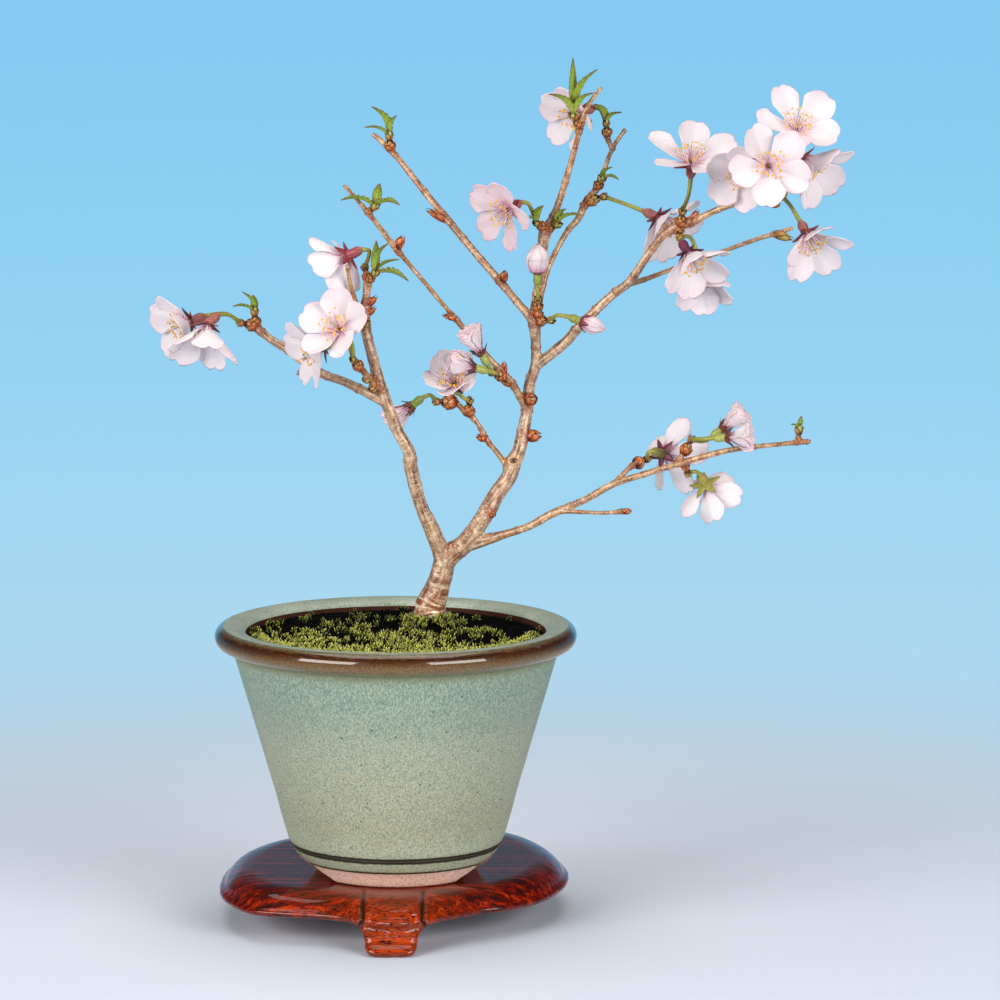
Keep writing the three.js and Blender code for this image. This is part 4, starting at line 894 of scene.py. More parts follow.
for _ in range(MOSS_TRIES):
    spot = spot_on_soil(MOSS_REACH)
    near_trunk = from_trunk(spot.x, spot.y)
    clump = noise.noise(Vector((spot.x, spot.y, 0)) * 0.12)
    wanted = 0.22 + 1.2 * clump - 0.014 * spot.y - 0.012 * max(0, spot.x - 10)
    if near_trunk < 13:
        wanted += 0.4
    if near_trunk < 6.4 or scatter_seed.random() > wanted:
        continue
    plant(spot.x, spot.y, scatter_seed.uniform(1.4, 2.3), scatter_seed.uniform(-0.3, 0.3))
    planted += 1
for _ in range(TUFT_SHOOTS):
    turn, away = math.radians(scatter_seed.uniform(-165, -15)), scatter_seed.uniform(6.8, 9.5)
    plant(TRUNK_FOOT[0] + away * math.cos(turn), TRUNK_FOOT[1] + away * math.sin(turn),
          scatter_seed.uniform(2.4, 3.2), scatter_seed.uniform(-0.25, 0.1))
    planted += 1
for row, reach in enumerate(RIM_ROWS):
    for step in range(ROW_SHOOTS):
        place = step + scatter_seed.uniform(-0.35, 0.35) + 0.5 * row
        turn = math.radians(ROW_START + ROW_TURN * place / ROW_SHOOTS)
        plant(reach * math.cos(turn), reach * math.sin(turn), scatter_seed.uniform(1.5, 2.3),
              scatter_seed.uniform(-0.15, 0.25))
        planted += 1
for shoot in shoots:
    bpy.data.meshes.remove(shoot)
print("moss shoots:", planted)
moss = loose_object("moss_cover", moss_shape)

# %% Moss leaves
moss_green, tree, shader, places = start_material("hair_moss")
up_leaf = add(tree, "Attribute", attribute_name="along").outputs["Fac"]
parts = add(tree, "SeparateXYZ", {0: places})
tone = add(tree, "TexNoise", {"Vector": places, "Scale": 1 / 2.4, "Detail": 2}).outputs["Fac"]
darker_back = add(tree, "Math", {0: parts.outputs["Y"], 1: 0.0035, 2: tone},
                  operation="MULTIPLY_ADD").outputs[0]
# Painted shade and painted highlight: a leaf is near black at its foot, painted shade deep among the
# shoots, and pale yellow at its tip, partly the moss's own young colour and partly a painted highlight. The
# second ramp does the same, darker, and is mixed in by clumps and more towards the back.
moss_shade_and_highlight = add(tree, "ValToRGB", {"Fac": up_leaf},
             stops=[(0.0, "#010200"), (0.28, "#0f1802"), (0.52, "#4b5b0c"), (0.76, "#b2b834"),
                    (0.96, "#f6f1a2")]).outputs["Color"]
deep = add(tree, "ValToRGB", {"Fac": up_leaf},
           stops=[(0.0, "#010200"), (0.4, "#090f03"), (0.68, "#27350f"),
                  (0.95, "#989f48")]).outputs["Color"]
clump_share = add(tree, "MapRange", {"Value": darker_back, "From Min": 0.46,
                                     "From Max": 0.54}).outputs["Result"]
mossy = add(tree, "Mix", {0: clump_share, 6: moss_shade_and_highlight, 7: deep}, data_type="RGBA").outputs[2]
fill(shader, {"Base Color": mossy, "Roughness": 0.5, "Specular IOR Level": 0.3})
finish_piece(moss, [moss_green], "leaf")

# %% [markdown]
# ## The wood
# Each limb is a tube through given stations with the thickness that the real one has there. The
# tubes cross where limbs fork. A voxel remesh grows them into one skin, with a soft collar at each fork.
# Bark follows the limb and not the world, so each point of the skin then learns from the nearest station
# how far along its limb it lies and how thick the limb is.

# %% Limbs
WOOD = {
    "trunk": [
        (11, 12, 88, 5.2), (11, 12, 97, 6.6), (11.5, 12, 101, 5.9), (11.5, 12, 105.5, 5.2),
        (13.5, 11, 111, 4.3), (15, 10, 116, 3.9), (17, 10, 122, 3.7), (22.5, 10, 126.5, 3.3),
        (26.5, 11, 131.5, 3), (30, 12, 137, 2.8), (33.5, 13, 143, 2.8), (37.5, 14, 148.5, 2.7),
        (39, 14, 153.5, 2.9), (41, 14, 158, 2.3), (43.5, 15, 170, 2), (44.5, 15, 179.5, 1.9),
        (46.5, 14, 186.5, 1.8), (46.5, 14, 194.5, 1.7), (46, 13, 201.5, 2.1), (46.5, 12.5, 206, 1.5),
        (47, 12, 211, 1.5), (48.5, 11, 221, 1.3), (49, 10, 228.5, 1.9), (49.8, 9.5, 231.5, 1.9),
        (52, 9, 236, 1.3), (55, 8, 244, 1.2), (59.5, 6, 260, 1), (61.5, 4, 268.5, 1),
        (64, 3, 274.5, 0.8), (68, 1, 280, 0.7),
    ],
    "left_leader": [
        (16.5, 10, 119, 3.2), (14.5, 9, 125.5, 2.9), (12, 7, 132, 2.7), (8, 5, 141.5, 2.2),
        (5, 3, 154, 2.4), (4.5, 2, 159, 2.1), (0.5, 1, 166.5, 2), (-3.5, 0, 177, 2.1),
        (-5.5, -1, 183.5, 1.9), (-9, -3, 197.5, 1.8), (-10, -4, 204.5, 1.7), (-9.5, -2, 210, 1.3),
        (-9, -1, 215, 1.3), (-8.5, -1, 218.5, 1),
    ],
    "left_twig": [(-10, -4, 203, 1.3), (-12.5, -5, 208.5, 1), (-14.5, -7, 215.5, 0.8),
                  (-15.5, -9, 222.5, 0.7)],
    "left_arm": [
        (-4, 0, 176, 1.7), (-12, 2, 180, 1.6), (-18, 4, 182.5, 1.5), (-24.5, 6, 184.5, 1.5),
        (-31, 9, 188.5, 1.5), (-36, 11, 192, 1.5), (-41.5, 13, 195, 1.4), (-46.5, 15, 199, 1.3),
    ],
    "left_front_spur": [(-4.5, -1, 180, 1.2), (-8.5, -5, 184.5, 1), (-11.5, -9, 188.5, 1)],
    "back_left": [
        (46, 13, 201, 1.6), (41, 15, 206.5, 1.3), (34.5, 18, 214, 1.3), (25.5, 22, 224, 1.3),
        (11.5, 30, 240, 1.2), (4, 34, 249, 1), (-2, 37, 256, 1), (-8, 40, 261, 0.8),
    ],
    "top_right": [
        (47, 12.5, 205, 1.3), (50.5, 17, 218, 1), (56.5, 21, 229.5, 1), (60.5, 23, 234, 1.2),
        (63.5, 24, 240, 1.2), (67, 25, 244.5, 1), (70, 27, 252, 0.8), (72.5, 28, 258, 0.8),
        (76.5, 30, 263.5, 0.7),
    ],
    "top_right_spur": [(72.5, 28, 256.5, 0.8), (70.8, 27, 259.5, 0.8), (70.3, 26.5, 262, 0.8)],
    "right": [
        (46.5, 14, 186, 1.8), (56, 11, 194, 1.8), (61, 9, 200, 1.7), (71.5, 6, 210.5, 1.5),
        (77.5, 4, 215.5, 1.5), (84, 1, 225.5, 1.3), (88.5, -1, 231.5, 1.4), (93, -2, 234.5, 1.6),
        (97.5, -4, 236, 1.3), (105, -7, 240, 1.1), (112.5, -10, 243, 1.1), (119, -9, 243.5, 1),
        (124, -7, 242, 0.8),
    ],
    "right_back": [
        (75.5, 4, 214, 1.1), (83.5, 8, 216, 0.9), (91, 11, 218.5, 0.8), (106, 17, 223, 0.8),
        (119, 23, 227, 0.8), (132.5, 29, 230.5, 0.7),
    ],
    "front_left": [
        (43.5, 15, 171, 1.3), (39, 9, 180.5, 1.2), (36, 7, 184, 1.1), (30, 5, 191, 1), (23.5, 3, 199, 1),
        (19, 1, 204.5, 0.8), (13.5, -3, 211.5, 0.8), (5, -9, 222.5, 0.8), (0.5, -14, 228.5, 1),
        (-8, -21, 240.5, 0.8), (-16, -26, 250.5, 0.7),
    ],
    "low_left": [
        (37.5, 14, 151.5, 1.1), (33.5, 15, 157, 0.9), (30.5, 15.5, 160.5, 0.8), (27.5, 15.5, 166, 0.8),
        (24.5, 15, 169.5, 0.9), (21.5, 14, 172, 0.8), (18.5, 13, 176.5, 0.8),
    ],
    "low_right": [
        (23.5, 10.5, 126.2, 2.4), (28.5, 10.6, 127.6, 2.1), (37, 8, 130.5, 1.4), (44.5, 5, 133.5, 1.3),
        (52, 3, 138, 1.4), (62.5, 0, 143, 1.2), (72.5, -3, 149, 1.2), (82, -6, 152.5, 1.1),
        (93.5, -9, 156.5, 1), (109.5, -13, 161.5, 1), (125, -17, 164, 0.8), (136.5, -20, 165.5, 0.8),
    ],
    "low_right_twig": [(52, 3, 137.5, 1.1), (56, 1, 139, 0.8), (68.5, -5, 139.5, 0.7),
                       (76, -8, 140.5, 0.8)],
    "low_spur": [(72.5, -3, 149, 1), (77, -1, 153.5, 0.8), (79.5, 1, 155, 0.8)],
    "low_upper_spur": [(92.5, -9, 156.5, 0.8), (95.3, -8, 160, 0.8)],
}

# %% Buds and spurs
BUDS = [
    ((17.5, 9, 124.5), (0.4, -0.2, 0.9), 5, 1.1),
    ((31.5, 10.5, 137), (0.6, -0.8, -0.1), 3.4, 1),
    ((44, 14, 162.5), (1, -0.2, 0.1), 6, 1.9),
    ((44.5, 12.5, 175), (0.5, -0.9, 0.2), 4.5, 1.9),
    ((38, 9, 180.5), (-0.9, -0.2, 0.4), 4.5, 0.9),
    ((35.7, 6.8, 184.5), (0.1, -0.1, 1), 5.5, 1.1),
    ((35.5, 17, 214.5), (0.3, -0.4, 0.9), 5, 1.3),
    ((16.5, 27, 233.5), (-0.85, -0.2, 0.5), 10, 1.2),
    ((19.5, 1, 203.5), (-0.9, -0.2, 0.35), 5.5, 0.8),
    ((29.5, 15.5, 161.5), (-0.85, -0.3, 0.3), 4, 1.2),
    ((97.5, -4, 236.5), (0.5, -0.2, 0.85), 6, 1.1),
    ((126.5, 26.2, 228.8), (0.95, -0.1, -0.25), 8, 1.3),
    ((75.5, -8, 140.5), (1, -0.2, 0.1), 3.5, 0.9),
    ((-9, -3, 208.5), (0.7, -0.2, 0.7), 6, 1.1),
    ((-9.5, -3.5, 205.5), (0.8, -0.2, 0.6), 5.5, 1.1),
    ((-10, -4.5, 203), (-0.1, -1, 0.1), 4, 1.7),
    ((-6.5, -3, 181.5), (-0.5, -0.8, -0.2), 4.5, 1.5),
    ((-8.5, -4.5, 184.3), (-0.7, -0.7, 0), 4, 1.4),
    ((-27.5, 7.5, 186), (-0.9, -0.5, -0.2), 8, 1.4),
    ((46.5, 12, 203), (0.7, -0.8, 0.7), 5, 1.6),
    ((1, -14, 229), (0.5, -0.3, 0.9), 6, 1.4),
]
SPURS = {
    "left_tip": ((-46.5, 15, 199.5), (-1, -0.2, 0.2), 5, 1.9),
    "left_top": ((-9, 0, 216.5), (-0.2, 0.6, 0.8), 4.5, 1.4),
    "left_front": ((-11.5, -9, 188.5), (-0.4, -0.6, 0.6), 4.5, 1.7),
    "centre_low": ((24, 14.8, 169.7), (0.1, -0.2, 1), 4.5, 1.9),
    "centre_left": ((36, 7, 183.5), (-0.75, -0.5, 0.3), 5, 1.8),
    "upper_mid": ((49, 9, 233), (-0.5, -0.8, 0.4), 4.5, 1.5),
    "top_right": ((70.3, 26.5, 262), (-0.1, -0.2, 1), 3.5, 1.6),
    "top_node": ((46.8, 12, 205.5), (0.1, -0.9, 0.8), 5, 1.7),
    "node_right": ((47, 12, 201.5), (0.9, -0.5, 0.1), 5, 1.6),
    "right_upper": ((94, -3, 235), (0.1, -0.4, 0.9), 5, 1.6),
    "right_end": ((124, -7, 242.3), (0.6, -0.3, 0.5), 4, 1.6),
    "mid_right": ((63.5, 24, 240), (0.9, -0.4, 0.3), 6.5, 1.8),
    "right_lower": ((93.3, -2, 233.6), (0.1, -0.6, -0.8), 2.4, 1.6),
    "low_spur": ((79.5, 1, 155), (0.6, 0.4, 0.2), 4.5, 1.9),
    "low_upper": ((95.3, -8, 160), (0.45, -0.1, 0.85), 5, 1.8),
    "low_under": ((95.5, -9, 156.5), (0.3, 0.5, -0.8), 3.6, 1.3),
    "low_left": ((19.5, 13.3, 174), (-1, -0.1, 0.05), 6, 2.2),
    "leaf_top_left": ((-2, 37, 256), (-0.1, -0.2, 1), 4.5, 1.6),
    "leaf_left_twig": ((-8.5, -21, 241), (0.6, -0.5, 0.6), 3, 1),
    "leaf_left_spur": ((-8.8, -1, 216.5), (0.5, -0.6, 0.6), 4, 1.4),
    "leaf_left_tip": ((-46.5, 15, 199.5), (-0.1, -0.2, 1), 4.5, 1.6),
    "leaf_top": ((61.2, 4.5, 267), (-0.5, -0.5, 0.7), 4.5, 1.5),
    "leaf_upper_mid": ((50, 9.3, 232.3), (0.7, -0.6, 0.4), 4.5, 1.4),
    "leaf_top_right_low": ((67, 25, 244.5), (0.3, -0.7, 0.7), 4.5, 1.4),
    "leaf_low_tip": ((132.5, -18.8, 165), (0.05, 0, 1), 3.6, 0.9),
}
BUD_TIP = 0.8  # share of a bud's length that stands out from where it is rooted


def beyond_spur(name, distance):
    at, way, length, _ = SPURS[name]
    return Vector(at) + Vector(way).normalized() * (BUD_TIP * length + distance)


# %% One skin of wood
WOOD_VOXEL = 0.42
wood_shape = new_shape()
centreline = []
for limb_number, stations in enumerate(WOOD.values()):
    path = smooth_path(stations, 4)
    limb_shape = new_shape()
    tube(limb_shape, path, 14)
    merge_into(wood_shape, limb_shape)
    run = 0.0
    for here, there in zip(path, path[1:]):
        run += (Vector(there[:3]) - Vector(here[:3])).length
        heading = (Vector(there[:3]) - Vector(here[:3])).normalized()
        centreline.append((Vector(there[:3]), run, there[3], heading, limb_number))
for at, way, length, radius in BUDS + list(SPURS.values()):
    core = new_shape()
    bmesh.ops.create_uvsphere(core, u_segments=10, v_segments=8, radius=1)
    turn = Vector(way).to_track_quat("Z", "Y").to_matrix().to_4x4()
    squash = Matrix.Diagonal((radius * 0.8, radius * 0.8, length * 0.42, 1))
    place = Matrix.Translation(at) @ turn @ Matrix.Translation((0, 0, length * 0.25)) @ squash
    bmesh.ops.transform(core, matrix=place, verts=core.verts)
    merge_into(wood_shape, core)
wood = loose_object("tree_bark", wood_shape)
melt(wood, WOOD_VOXEL)

# %% Bark that follows the limbs
SCAR = Vector((39.2, 11.2, 154.6))  # where a twig was cut off long ago
SCAR_SQUASH = (1.2, 1.2, 1.8)  # the scar is lower than it is wide
JOINT_PITCH = 9.5  # a limb swells a little at each old leaf joint
nearest = kdtree.KDTree(len(centreline))
for number, row in enumerate(centreline):
    nearest.insert(row[0], number)
nearest.balance()
knots = kdtree.KDTree(len(BUDS) + len(SPURS))
for number, row in enumerate(BUDS + list(SPURS.values())):
    knots.insert(Vector(row[0]), number)
knots.balance()
for name, kind in (("bark", "FLOAT_VECTOR"), ("thick", "FLOAT"), ("knot", "FLOAT")):
    wood.data.attributes.new(name, kind, "POINT")
grain_values, thick_values, knot_values = (
    wood.data.attributes[name].data for name in ("bark", "thick", "knot"))
for number, vert in enumerate(wood.data.vertices):
    point, run, radius, heading, limb_number = centreline[nearest.find(vert.co)[1]]
    offset = vert.co - point
    outward = offset.normalized()
    one_way = heading.cross(Vector((0, 1, 0))).normalized()
    other_way = heading.cross(one_way)
    run += offset.dot(heading)
    rings = noise.noise(Vector((run * 1.3, radius, 0.3)) + vert.co * 0.05)
    coarse = noise.noise(vert.co * 0.5)
    fine = noise.noise(vert.co * 1.7)
    foot = min(1.0, max(0.0, (radius - 3) / 2))
    joint_number = round(run / JOINT_PITCH)
    jitter = 0.4 * noise.noise(Vector((joint_number * 7.3, limb_number * 3.1, 0.5)))
    joint = math.exp(-((run - (joint_number + jitter) * JOINT_PITCH) / 0.7) ** 2)
    joint *= min(1.0, max(0.0, (3.2 - radius) / 1.6))
    knot = math.exp(-(knots.find(vert.co)[2] / 3.2) ** 2)
    scar_away = ((vert.co - SCAR) * Vector(SCAR_SQUASH)).length
    lip = 0.4 * math.exp(-((scar_away - 2.1) / 0.6) ** 2) - 0.5 * math.exp(-(scar_away / 1.4) ** 4)
    roughness = (0.02 + 0.05 * foot) * rings + 0.04 * coarse + 0.03 * fine
    swelling = joint * (0.1 + 0.1 * radius) * (0.7 + coarse) + 0.35 * knot * (0.8 + 2 * fine)
    vert.co = vert.co + outward * (radius * roughness + swelling + lip)
    grain_values[number].vector = (offset.dot(one_way), offset.dot(other_way), run)
    thick_values[number].value = radius
    knot_values[number].value = min(1.0, knot + 0.75 * joint)
print("bark faces:", len(wood.data.polygons))

# %% [markdown]
# Cherry bark is smooth with a satin shine. Thin skin tears into fine stripes along the limb, tan over a
# darker brown, and short pale pores, the lenticels, lie across it. Twigs are more orange, and wood is
# redder round its buds. At the foot of the trunk the skin is old: it is rust red and peels sideways in
# pale curved bands. The patterns are laid out by each point's place along and across its own limb.

# %% Cherry bark
cherry_bark, tree, shader, places = start_material("cherry_bark")
grain = add(tree, "Attribute", attribute_name="bark").outputs["Vector"]
thick = add(tree, "Attribute", attribute_name="thick").outputs["Fac"]
knot = add(tree, "Attribute", attribute_name="knot").outputs["Fac"]


def bark_noise(across, along, detail, roughness=0.6):
    """A noise with patches of this size across and along the limb, in millimetres."""
    at = add(tree, "Mapping", {"Vector": grain, "Scale": (1 / across, 1 / across, 1 / along)})
    return add(tree, "TexNoise", {"Vector": at.outputs["Vector"], "Scale": 1, "Detail": detail,
                                  "Roughness": roughness}).outputs["Fac"]


stripes = bark_noise(0.8, 7.0, 3)
patches = bark_noise(2.0, 2.6, 5)
tone = add(tree, "Mix", {0: 0.45, 2: stripes, 3: patches}, data_type="FLOAT").outputs[0]
twig = add(tree, "ValToRGB", {"Fac": tone},
           stops=[(0.34, "#4a240e"), (0.44, "#8f5c34"), (0.54, "#bd9064"),
                  (0.66, "#e2c49e")]).outputs["Color"]
limb = add(tree, "ValToRGB", {"Fac": tone},
           stops=[(0.34, "#3c2316"), (0.43, "#86604a"), (0.54, "#bf9d7f"),
                  (0.65, "#ead3b6")]).outputs["Color"]
foot_bark = add(tree, "ValToRGB", {"Fac": tone},
                stops=[(0.34, "#40221a"), (0.44, "#80492c"), (0.54, "#a9765a"),
                       (0.66, "#d8bfa2")]).outputs["Color"]
twig_share = add(tree, "MapRange", {"Value": thick, "From Min": 1.7, "From Max": 1.0}).outputs["Result"]
thin = add(tree, "Mix", {0: twig_share, 6: limb, 7: twig}, data_type="RGBA").outputs[2]
age = add(tree, "MapRange", {"Value": thick, "From Min": 3.2, "From Max": 5.2}).outputs["Result"]
aged = add(tree, "Mix", {0: age, 6: thin, 7: foot_bark}, data_type="RGBA").outputs[2]
bands = bark_noise(7.0, 1.1, 4)
band_strength = add(tree, "MapRange", {"Value": age, "From Min": 0, "From Max": 1, "To Min": 0.2,
                                       "To Max": 1.0}).outputs["Result"]
rust_band = add(tree, "MapRange", {"Value": bands, "From Min": 0.53, "From Max": 0.58}).outputs["Result"]
rust_share = add(tree, "Math", {0: rust_band, 1: band_strength}, operation="MULTIPLY").outputs[0]
rusty = add(tree, "Mix", {0: rust_share, 6: aged, 7: "#8c4420"}, data_type="RGBA").outputs[2]
pale_band = add(tree, "MapRange", {"Value": bands, "From Min": 0.45, "From Max": 0.39}).outputs["Result"]
pale_share = add(tree, "Math", {0: pale_band, 1: band_strength}, operation="MULTIPLY").outputs[0]
peeled = add(tree, "Mix", {0: pale_share, 6: rusty, 7: "#eed9bc"}, data_type="RGBA").outputs[2]
pores = bark_noise(1.5, 0.4, 1)
pore_mask = add(tree, "MapRange", {"Value": pores, "From Min": 0.66, "From Max": 0.71, "To Min": 0,
                                   "To Max": 0.8}).outputs["Result"]
pored = add(tree, "Mix", {0: pore_mask, 6: peeled, 7: "#ecdcc0"}, data_type="RGBA").outputs[2]
red_share = add(tree, "MapRange", {"Value": knot, "From Min": 0.2, "From Max": 0.9, "To Min": 0,
                                   "To Max": 0.65}).outputs["Result"]
reddish = add(tree, "Mix", {0: red_share, 6: pored, 7: "#8a4526"}, data_type="RGBA").outputs[2]
from_scar = add(tree, "VectorMath", {0: places, 1: tuple(SCAR)}, operation="SUBTRACT")
oval = add(tree, "VectorMath", {0: from_scar.outputs[0], 1: SCAR_SQUASH}, operation="MULTIPLY")
scar_away = add(tree, "VectorMath", {0: oval.outputs[0]}, operation="LENGTH")
scar_level = add(tree, "MapRange", {"Value": scar_away.outputs["Value"], "From Min": 0,
                                    "From Max": 3}).outputs["Result"]
scar_tone = add(tree, "ValToRGB", {"Fac": scar_level},
                stops=[(0.0, "#1c110a"), (0.35, "#2c1a0e"), (0.5, "#8a4a2a"), (0.72, "#d2ae84"),
                       (1.0, "#a98055")]).outputs["Color"]
scar_share = add(tree, "MapRange", {"Value": scar_away.outputs["Value"], "From Min": 2.0, "From Max": 2.8,
                                    "To Min": 0.9, "To Max": 0}).outputs["Result"]
scarred = add(tree, "Mix", {0: scar_share, 6: reddish, 7: scar_tone}, data_type="RGBA").outputs[2]
fill(shader, {"Base Color": scarred, "Roughness": 0.4, "Specular IOR Level": 0.3, "Coat Weight": 0.9,
              "Coat Roughness": 0.28})
furrows = add(tree, "Bump", {"Height": tone, "Distance": 0.3 * MM, "Strength": 0.7}).outputs["Normal"]
peeling = add(tree, "Bump", {"Height": bands, "Distance": 0.3 * MM, "Strength": 0.6,
                             "Normal": furrows}).outputs["Normal"]
tree.links.new(peeling, shader.inputs["Normal"])
finish_piece(wood, [cherry_bark], "bark", "tree_wood")

# %% [markdown]
# Every winter bud and every flowering spur is wrapped in small pointed scales that overlap like roof
# tiles, glossy and red-brown on a resting bud. On the swollen spurs the inner scales are green. Each
# scale is a blade laid on an egg, and each next one starts a little higher and a golden angle further
# round.

# %% Scales
def scaly_egg(shape, at, way, length, radius, count, opening, green):
    """Overlapping scales on an egg-shaped bud. opening bends their tips out, green tints the inner ones."""
    turn = Vector(way).to_track_quat("Z", "Y").to_matrix()
    for number in range(count):
        level = number / (count - 1)
        foot = 0.02 + 0.42 * level
        tip = min(1.0, foot + 0.6)
        azimuth = number * GOLDEN_TURN

        def surface(t, s):
            share = foot + (tip - foot) * t
            egg = radius * (0.12 + 0.95 * math.sin(math.pi * min(1.0, share ** 0.85)) ** 0.75)
            wide = 0.75 * (1 - t ** 2.4) + 0.04
            angle = azimuth + s * wide * 1.3
            away = egg * (1.06 - 0.14 * level) + opening * radius * t ** 3 + 0.05
            return Vector(at) + turn @ Vector((away * math.cos(angle), away * math.sin(angle),
                                               (share - 0.2) * length))

        part = new_shape()
        blade(part, surface, 6, 4, 0.16)
        mark(part, part.verts, kind=green * min(1.0, 0.2 + 1.1 * level))
        merge_into(shape, part)


BUD_GREENS = {11: 0.95, 15: 0.8, 16: 0.4, 17: 0.9, 18: 0.3}  # the few resting buds that begin to swell
SPUR_GREENS = {"low_left": 0.3, "mid_right": 0.6, "top_right": 0.6, "low_under": 0.3, "low_spur": 0.4}
scales_shape = new_shape()
for number, (at, way, length, radius) in enumerate(BUDS):
    scaly_egg(scales_shape, at, way, length, radius, 8, 0.03, BUD_GREENS.get(number, 0.0))
for name, (at, way, length, radius) in SPURS.items():
    opening = 0.3 if name.startswith("leaf") else 0.2
    scaly_egg(scales_shape, at, way, length, radius, 13, opening, SPUR_GREENS.get(name, 0.2))
scales = loose_object("bud_scales", scales_shape)

# %% Papery bud scales
scale_skin, tree, shader, places = start_material("papery_bud_scales")
up_scale = add(tree, "Attribute", attribute_name="along").outputs["Fac"]
green_share = add(tree, "Attribute", attribute_name="kind").outputs["Fac"]
brown = add(tree, "ValToRGB", {"Fac": up_scale},
            stops=[(0.0, "#351009"), (0.3, "#8f3214"), (0.62, "#d06a34"), (0.85, "#c98250"),
                   (1.0, "#54200f")]).outputs["Color"]
fresh = add(tree, "ValToRGB", {"Fac": up_scale},
            stops=[(0.0, "#6d4a24"), (0.35, "#a0a14c"), (0.7, "#b5bb68"), (0.92, "#9d7a44"),
                   (1.0, "#6a2e1c")]).outputs["Color"]
scaly = add(tree, "Mix", {0: green_share, 6: brown, 7: fresh}, data_type="RGBA").outputs[2]
mottle = add(tree, "TexNoise", {"Vector": places, "Scale": 1 / 0.8, "Detail": 3}).outputs["Fac"]
shade = add(tree, "ValToRGB", {"Fac": mottle}, stops=[(0.3, 0.55), (0.6, 1.0)]).outputs["Color"]
mottled = add(tree, "Mix", {0: 1.0, 6: scaly, 7: shade}, data_type="RGBA",
              blend_type="MULTIPLY").outputs[2]
over_scale = add(tree, "Attribute", attribute_name="across").outputs["Fac"]
scale_side = add(tree, "Math", {0: over_scale}, operation="ABSOLUTE").outputs[0]
scale_rim = add(tree, "MapRange", {"Value": scale_side, "From Min": 0.6, "From Max": 0.95, "To Min": 0,
                                   "To Max": 0.8}).outputs["Result"]
outlined = add(tree, "Mix", {0: scale_rim, 6: mottled, 7: "#45190c"}, data_type="RGBA").outputs[2]
fill(shader, {"Base Color": outlined, "Roughness": 0.32})
finish_piece(scales, [scale_skin], "bark")

# %% [markdown]
# ## Flowers
# A cherry flower has five notched petals on the rim of a small cup, about twenty-five stamens that stand
# on the same rim, and one style in the middle. The flowers are listed one by one: where the throat is,
# which way the flower looks, how far its petals lean out and bend, how it is rolled, and how long and
# wide a petal is.

# %% The flowers, one by one
PETALS = 5
FLOWERS = {
    "bloom_01": ((-68.5, 23, 200), (-0.85, -0.45, -0.25), 52, -12, 12, 14, 4.75),
    "bloom_02": ((-62.3, 4.5, 201.3), (-0.15, -0.45, -0.88), 48, -12, 57, 16.2, 4.95),
    "bloom_03": ((-15.5, -2, 225), (-0.68, 0.42, -0.6), 60, -14, 8, 13, 5.1),
    "bloom_04": ((-17.5, -20, 202), (-0.42, -0.78, 0.46), 60, -12, 22, 13.5, 5.1),
    "bloom_05": ((-23.5, -10, 195.5), (-0.85, -0.35, -0.3), 56, -12, 20, 14, 4.2),
    "bloom_06": ((20, 8, 180.5), (-0.2, -0.75, 0.65), 46, -24, 60, 11.6, 4.6),
    "bloom_07": ((26.3, -6, 188), (-0.93, -0.15, 0.25), 20, 0, 10, 9, 2.8),
    "bloom_08": ((28.5, -4, 192.5), (-0.45, -0.2, 0.85), 22, 6, 40, 9.5, 3),
    "bloom_09": ((38, 2, 240), (-0.65, -0.7, -0.3), 66, -12, 70, 13.4, 4.6),
    "bloom_10": ((62, 22, 270), (-0.7, -0.65, -0.2), 54, -12, 6, 13.6, 4.6),
    "bloom_11": ((47, 4, 218.5), (0, -0.1, 1), 0, 0, 0, 9.5, 3.6),
    "bloom_12": ((61.5, 2, 202.5), (0.93, -0.15, -0.3), 0, 0, 0, 8, 2.6),
    "bloom_13": ((97.5, 1.5, 254.5), (0, -0.5, 0.86), 68, -12, 12, 16.2, 4.75),
    "bloom_14": ((114, -10, 253), (-0.25, -0.95, -0.2), 56, -12, 4, 12.8, 4.75),
    "bloom_15": ((121.5, -28, 257), (0.15, -0.97, 0.15), 62, -12, 46, 14.8, 5.1),
    "bloom_16": ((131.5, -8, 266.5), (0.15, -0.7, 0.7), 64, -12, 35, 15.2, 5.1),
    "bloom_17": ((134, -8, 257.5), (0.7, -0.48, -0.55), 48, -14, 48, 15.8, 5.1),
    "bloom_18": ((135.5, -2, 232), (0.35, -0.65, -0.65), 52, -12, 30, 15.2, 4.75),
    "bloom_19": ((87, 16.5, 235.5), (0.6, -0.5, -0.6), 60, -12, 8, 15.2, 4.75),
    "bloom_20": ((96.2, -9, 226.5), (0.4, -0.6, -0.7), 50, -14, 64, 14.8, 4.6),
    "bloom_21": ((101, 9, 219), (0.15, -0.6, -0.8), 42, -14, 64, 14.4, 4.6),
    "bloom_22": ((88.5, 4, 158), (0.65, 0.72, -0.25), 60, -10, 18, 15, 3.85),
    "bloom_23": ((107.8, -8, 168), (0.75, -0.1, 0.65), 22, 0, 0, 9.5, 2.9),
    "bloom_24": ((109, -18, 166.6), (0.95, -0.25, 0.1), 26, 0, 30, 8.6, 3.1),
    "bloom_25": ((102.5, -1, 148.5), (0.35, 0.6, -0.7), 60, -12, 28, 12.2, 4.2),
    "bloom_26": ((5.5, 9, 173.5), (-0.78, 0.1, -0.6), 24, 0, 0, 10, 2.9),
}
WIDE_OPEN = 40  # degrees; flowers whose petals lean out less than this are half open
ROSY = {"bloom_09": 0.35, "bloom_07": 0.25, "bloom_08": 0.15, "bloom_23": 0.12, "bloom_24": 0.12,
        "bloom_26": 0.3, "bloom_12": 0.35, "bloom_11": 0.2,  # how pink, where a flower isn't nearly white
        "bloom_14": -0.7, "bloom_15": -0.7, "bloom_16": -0.4}  # below 0: as white, with a plainer throat
print("flowers:", len(FLOWERS))


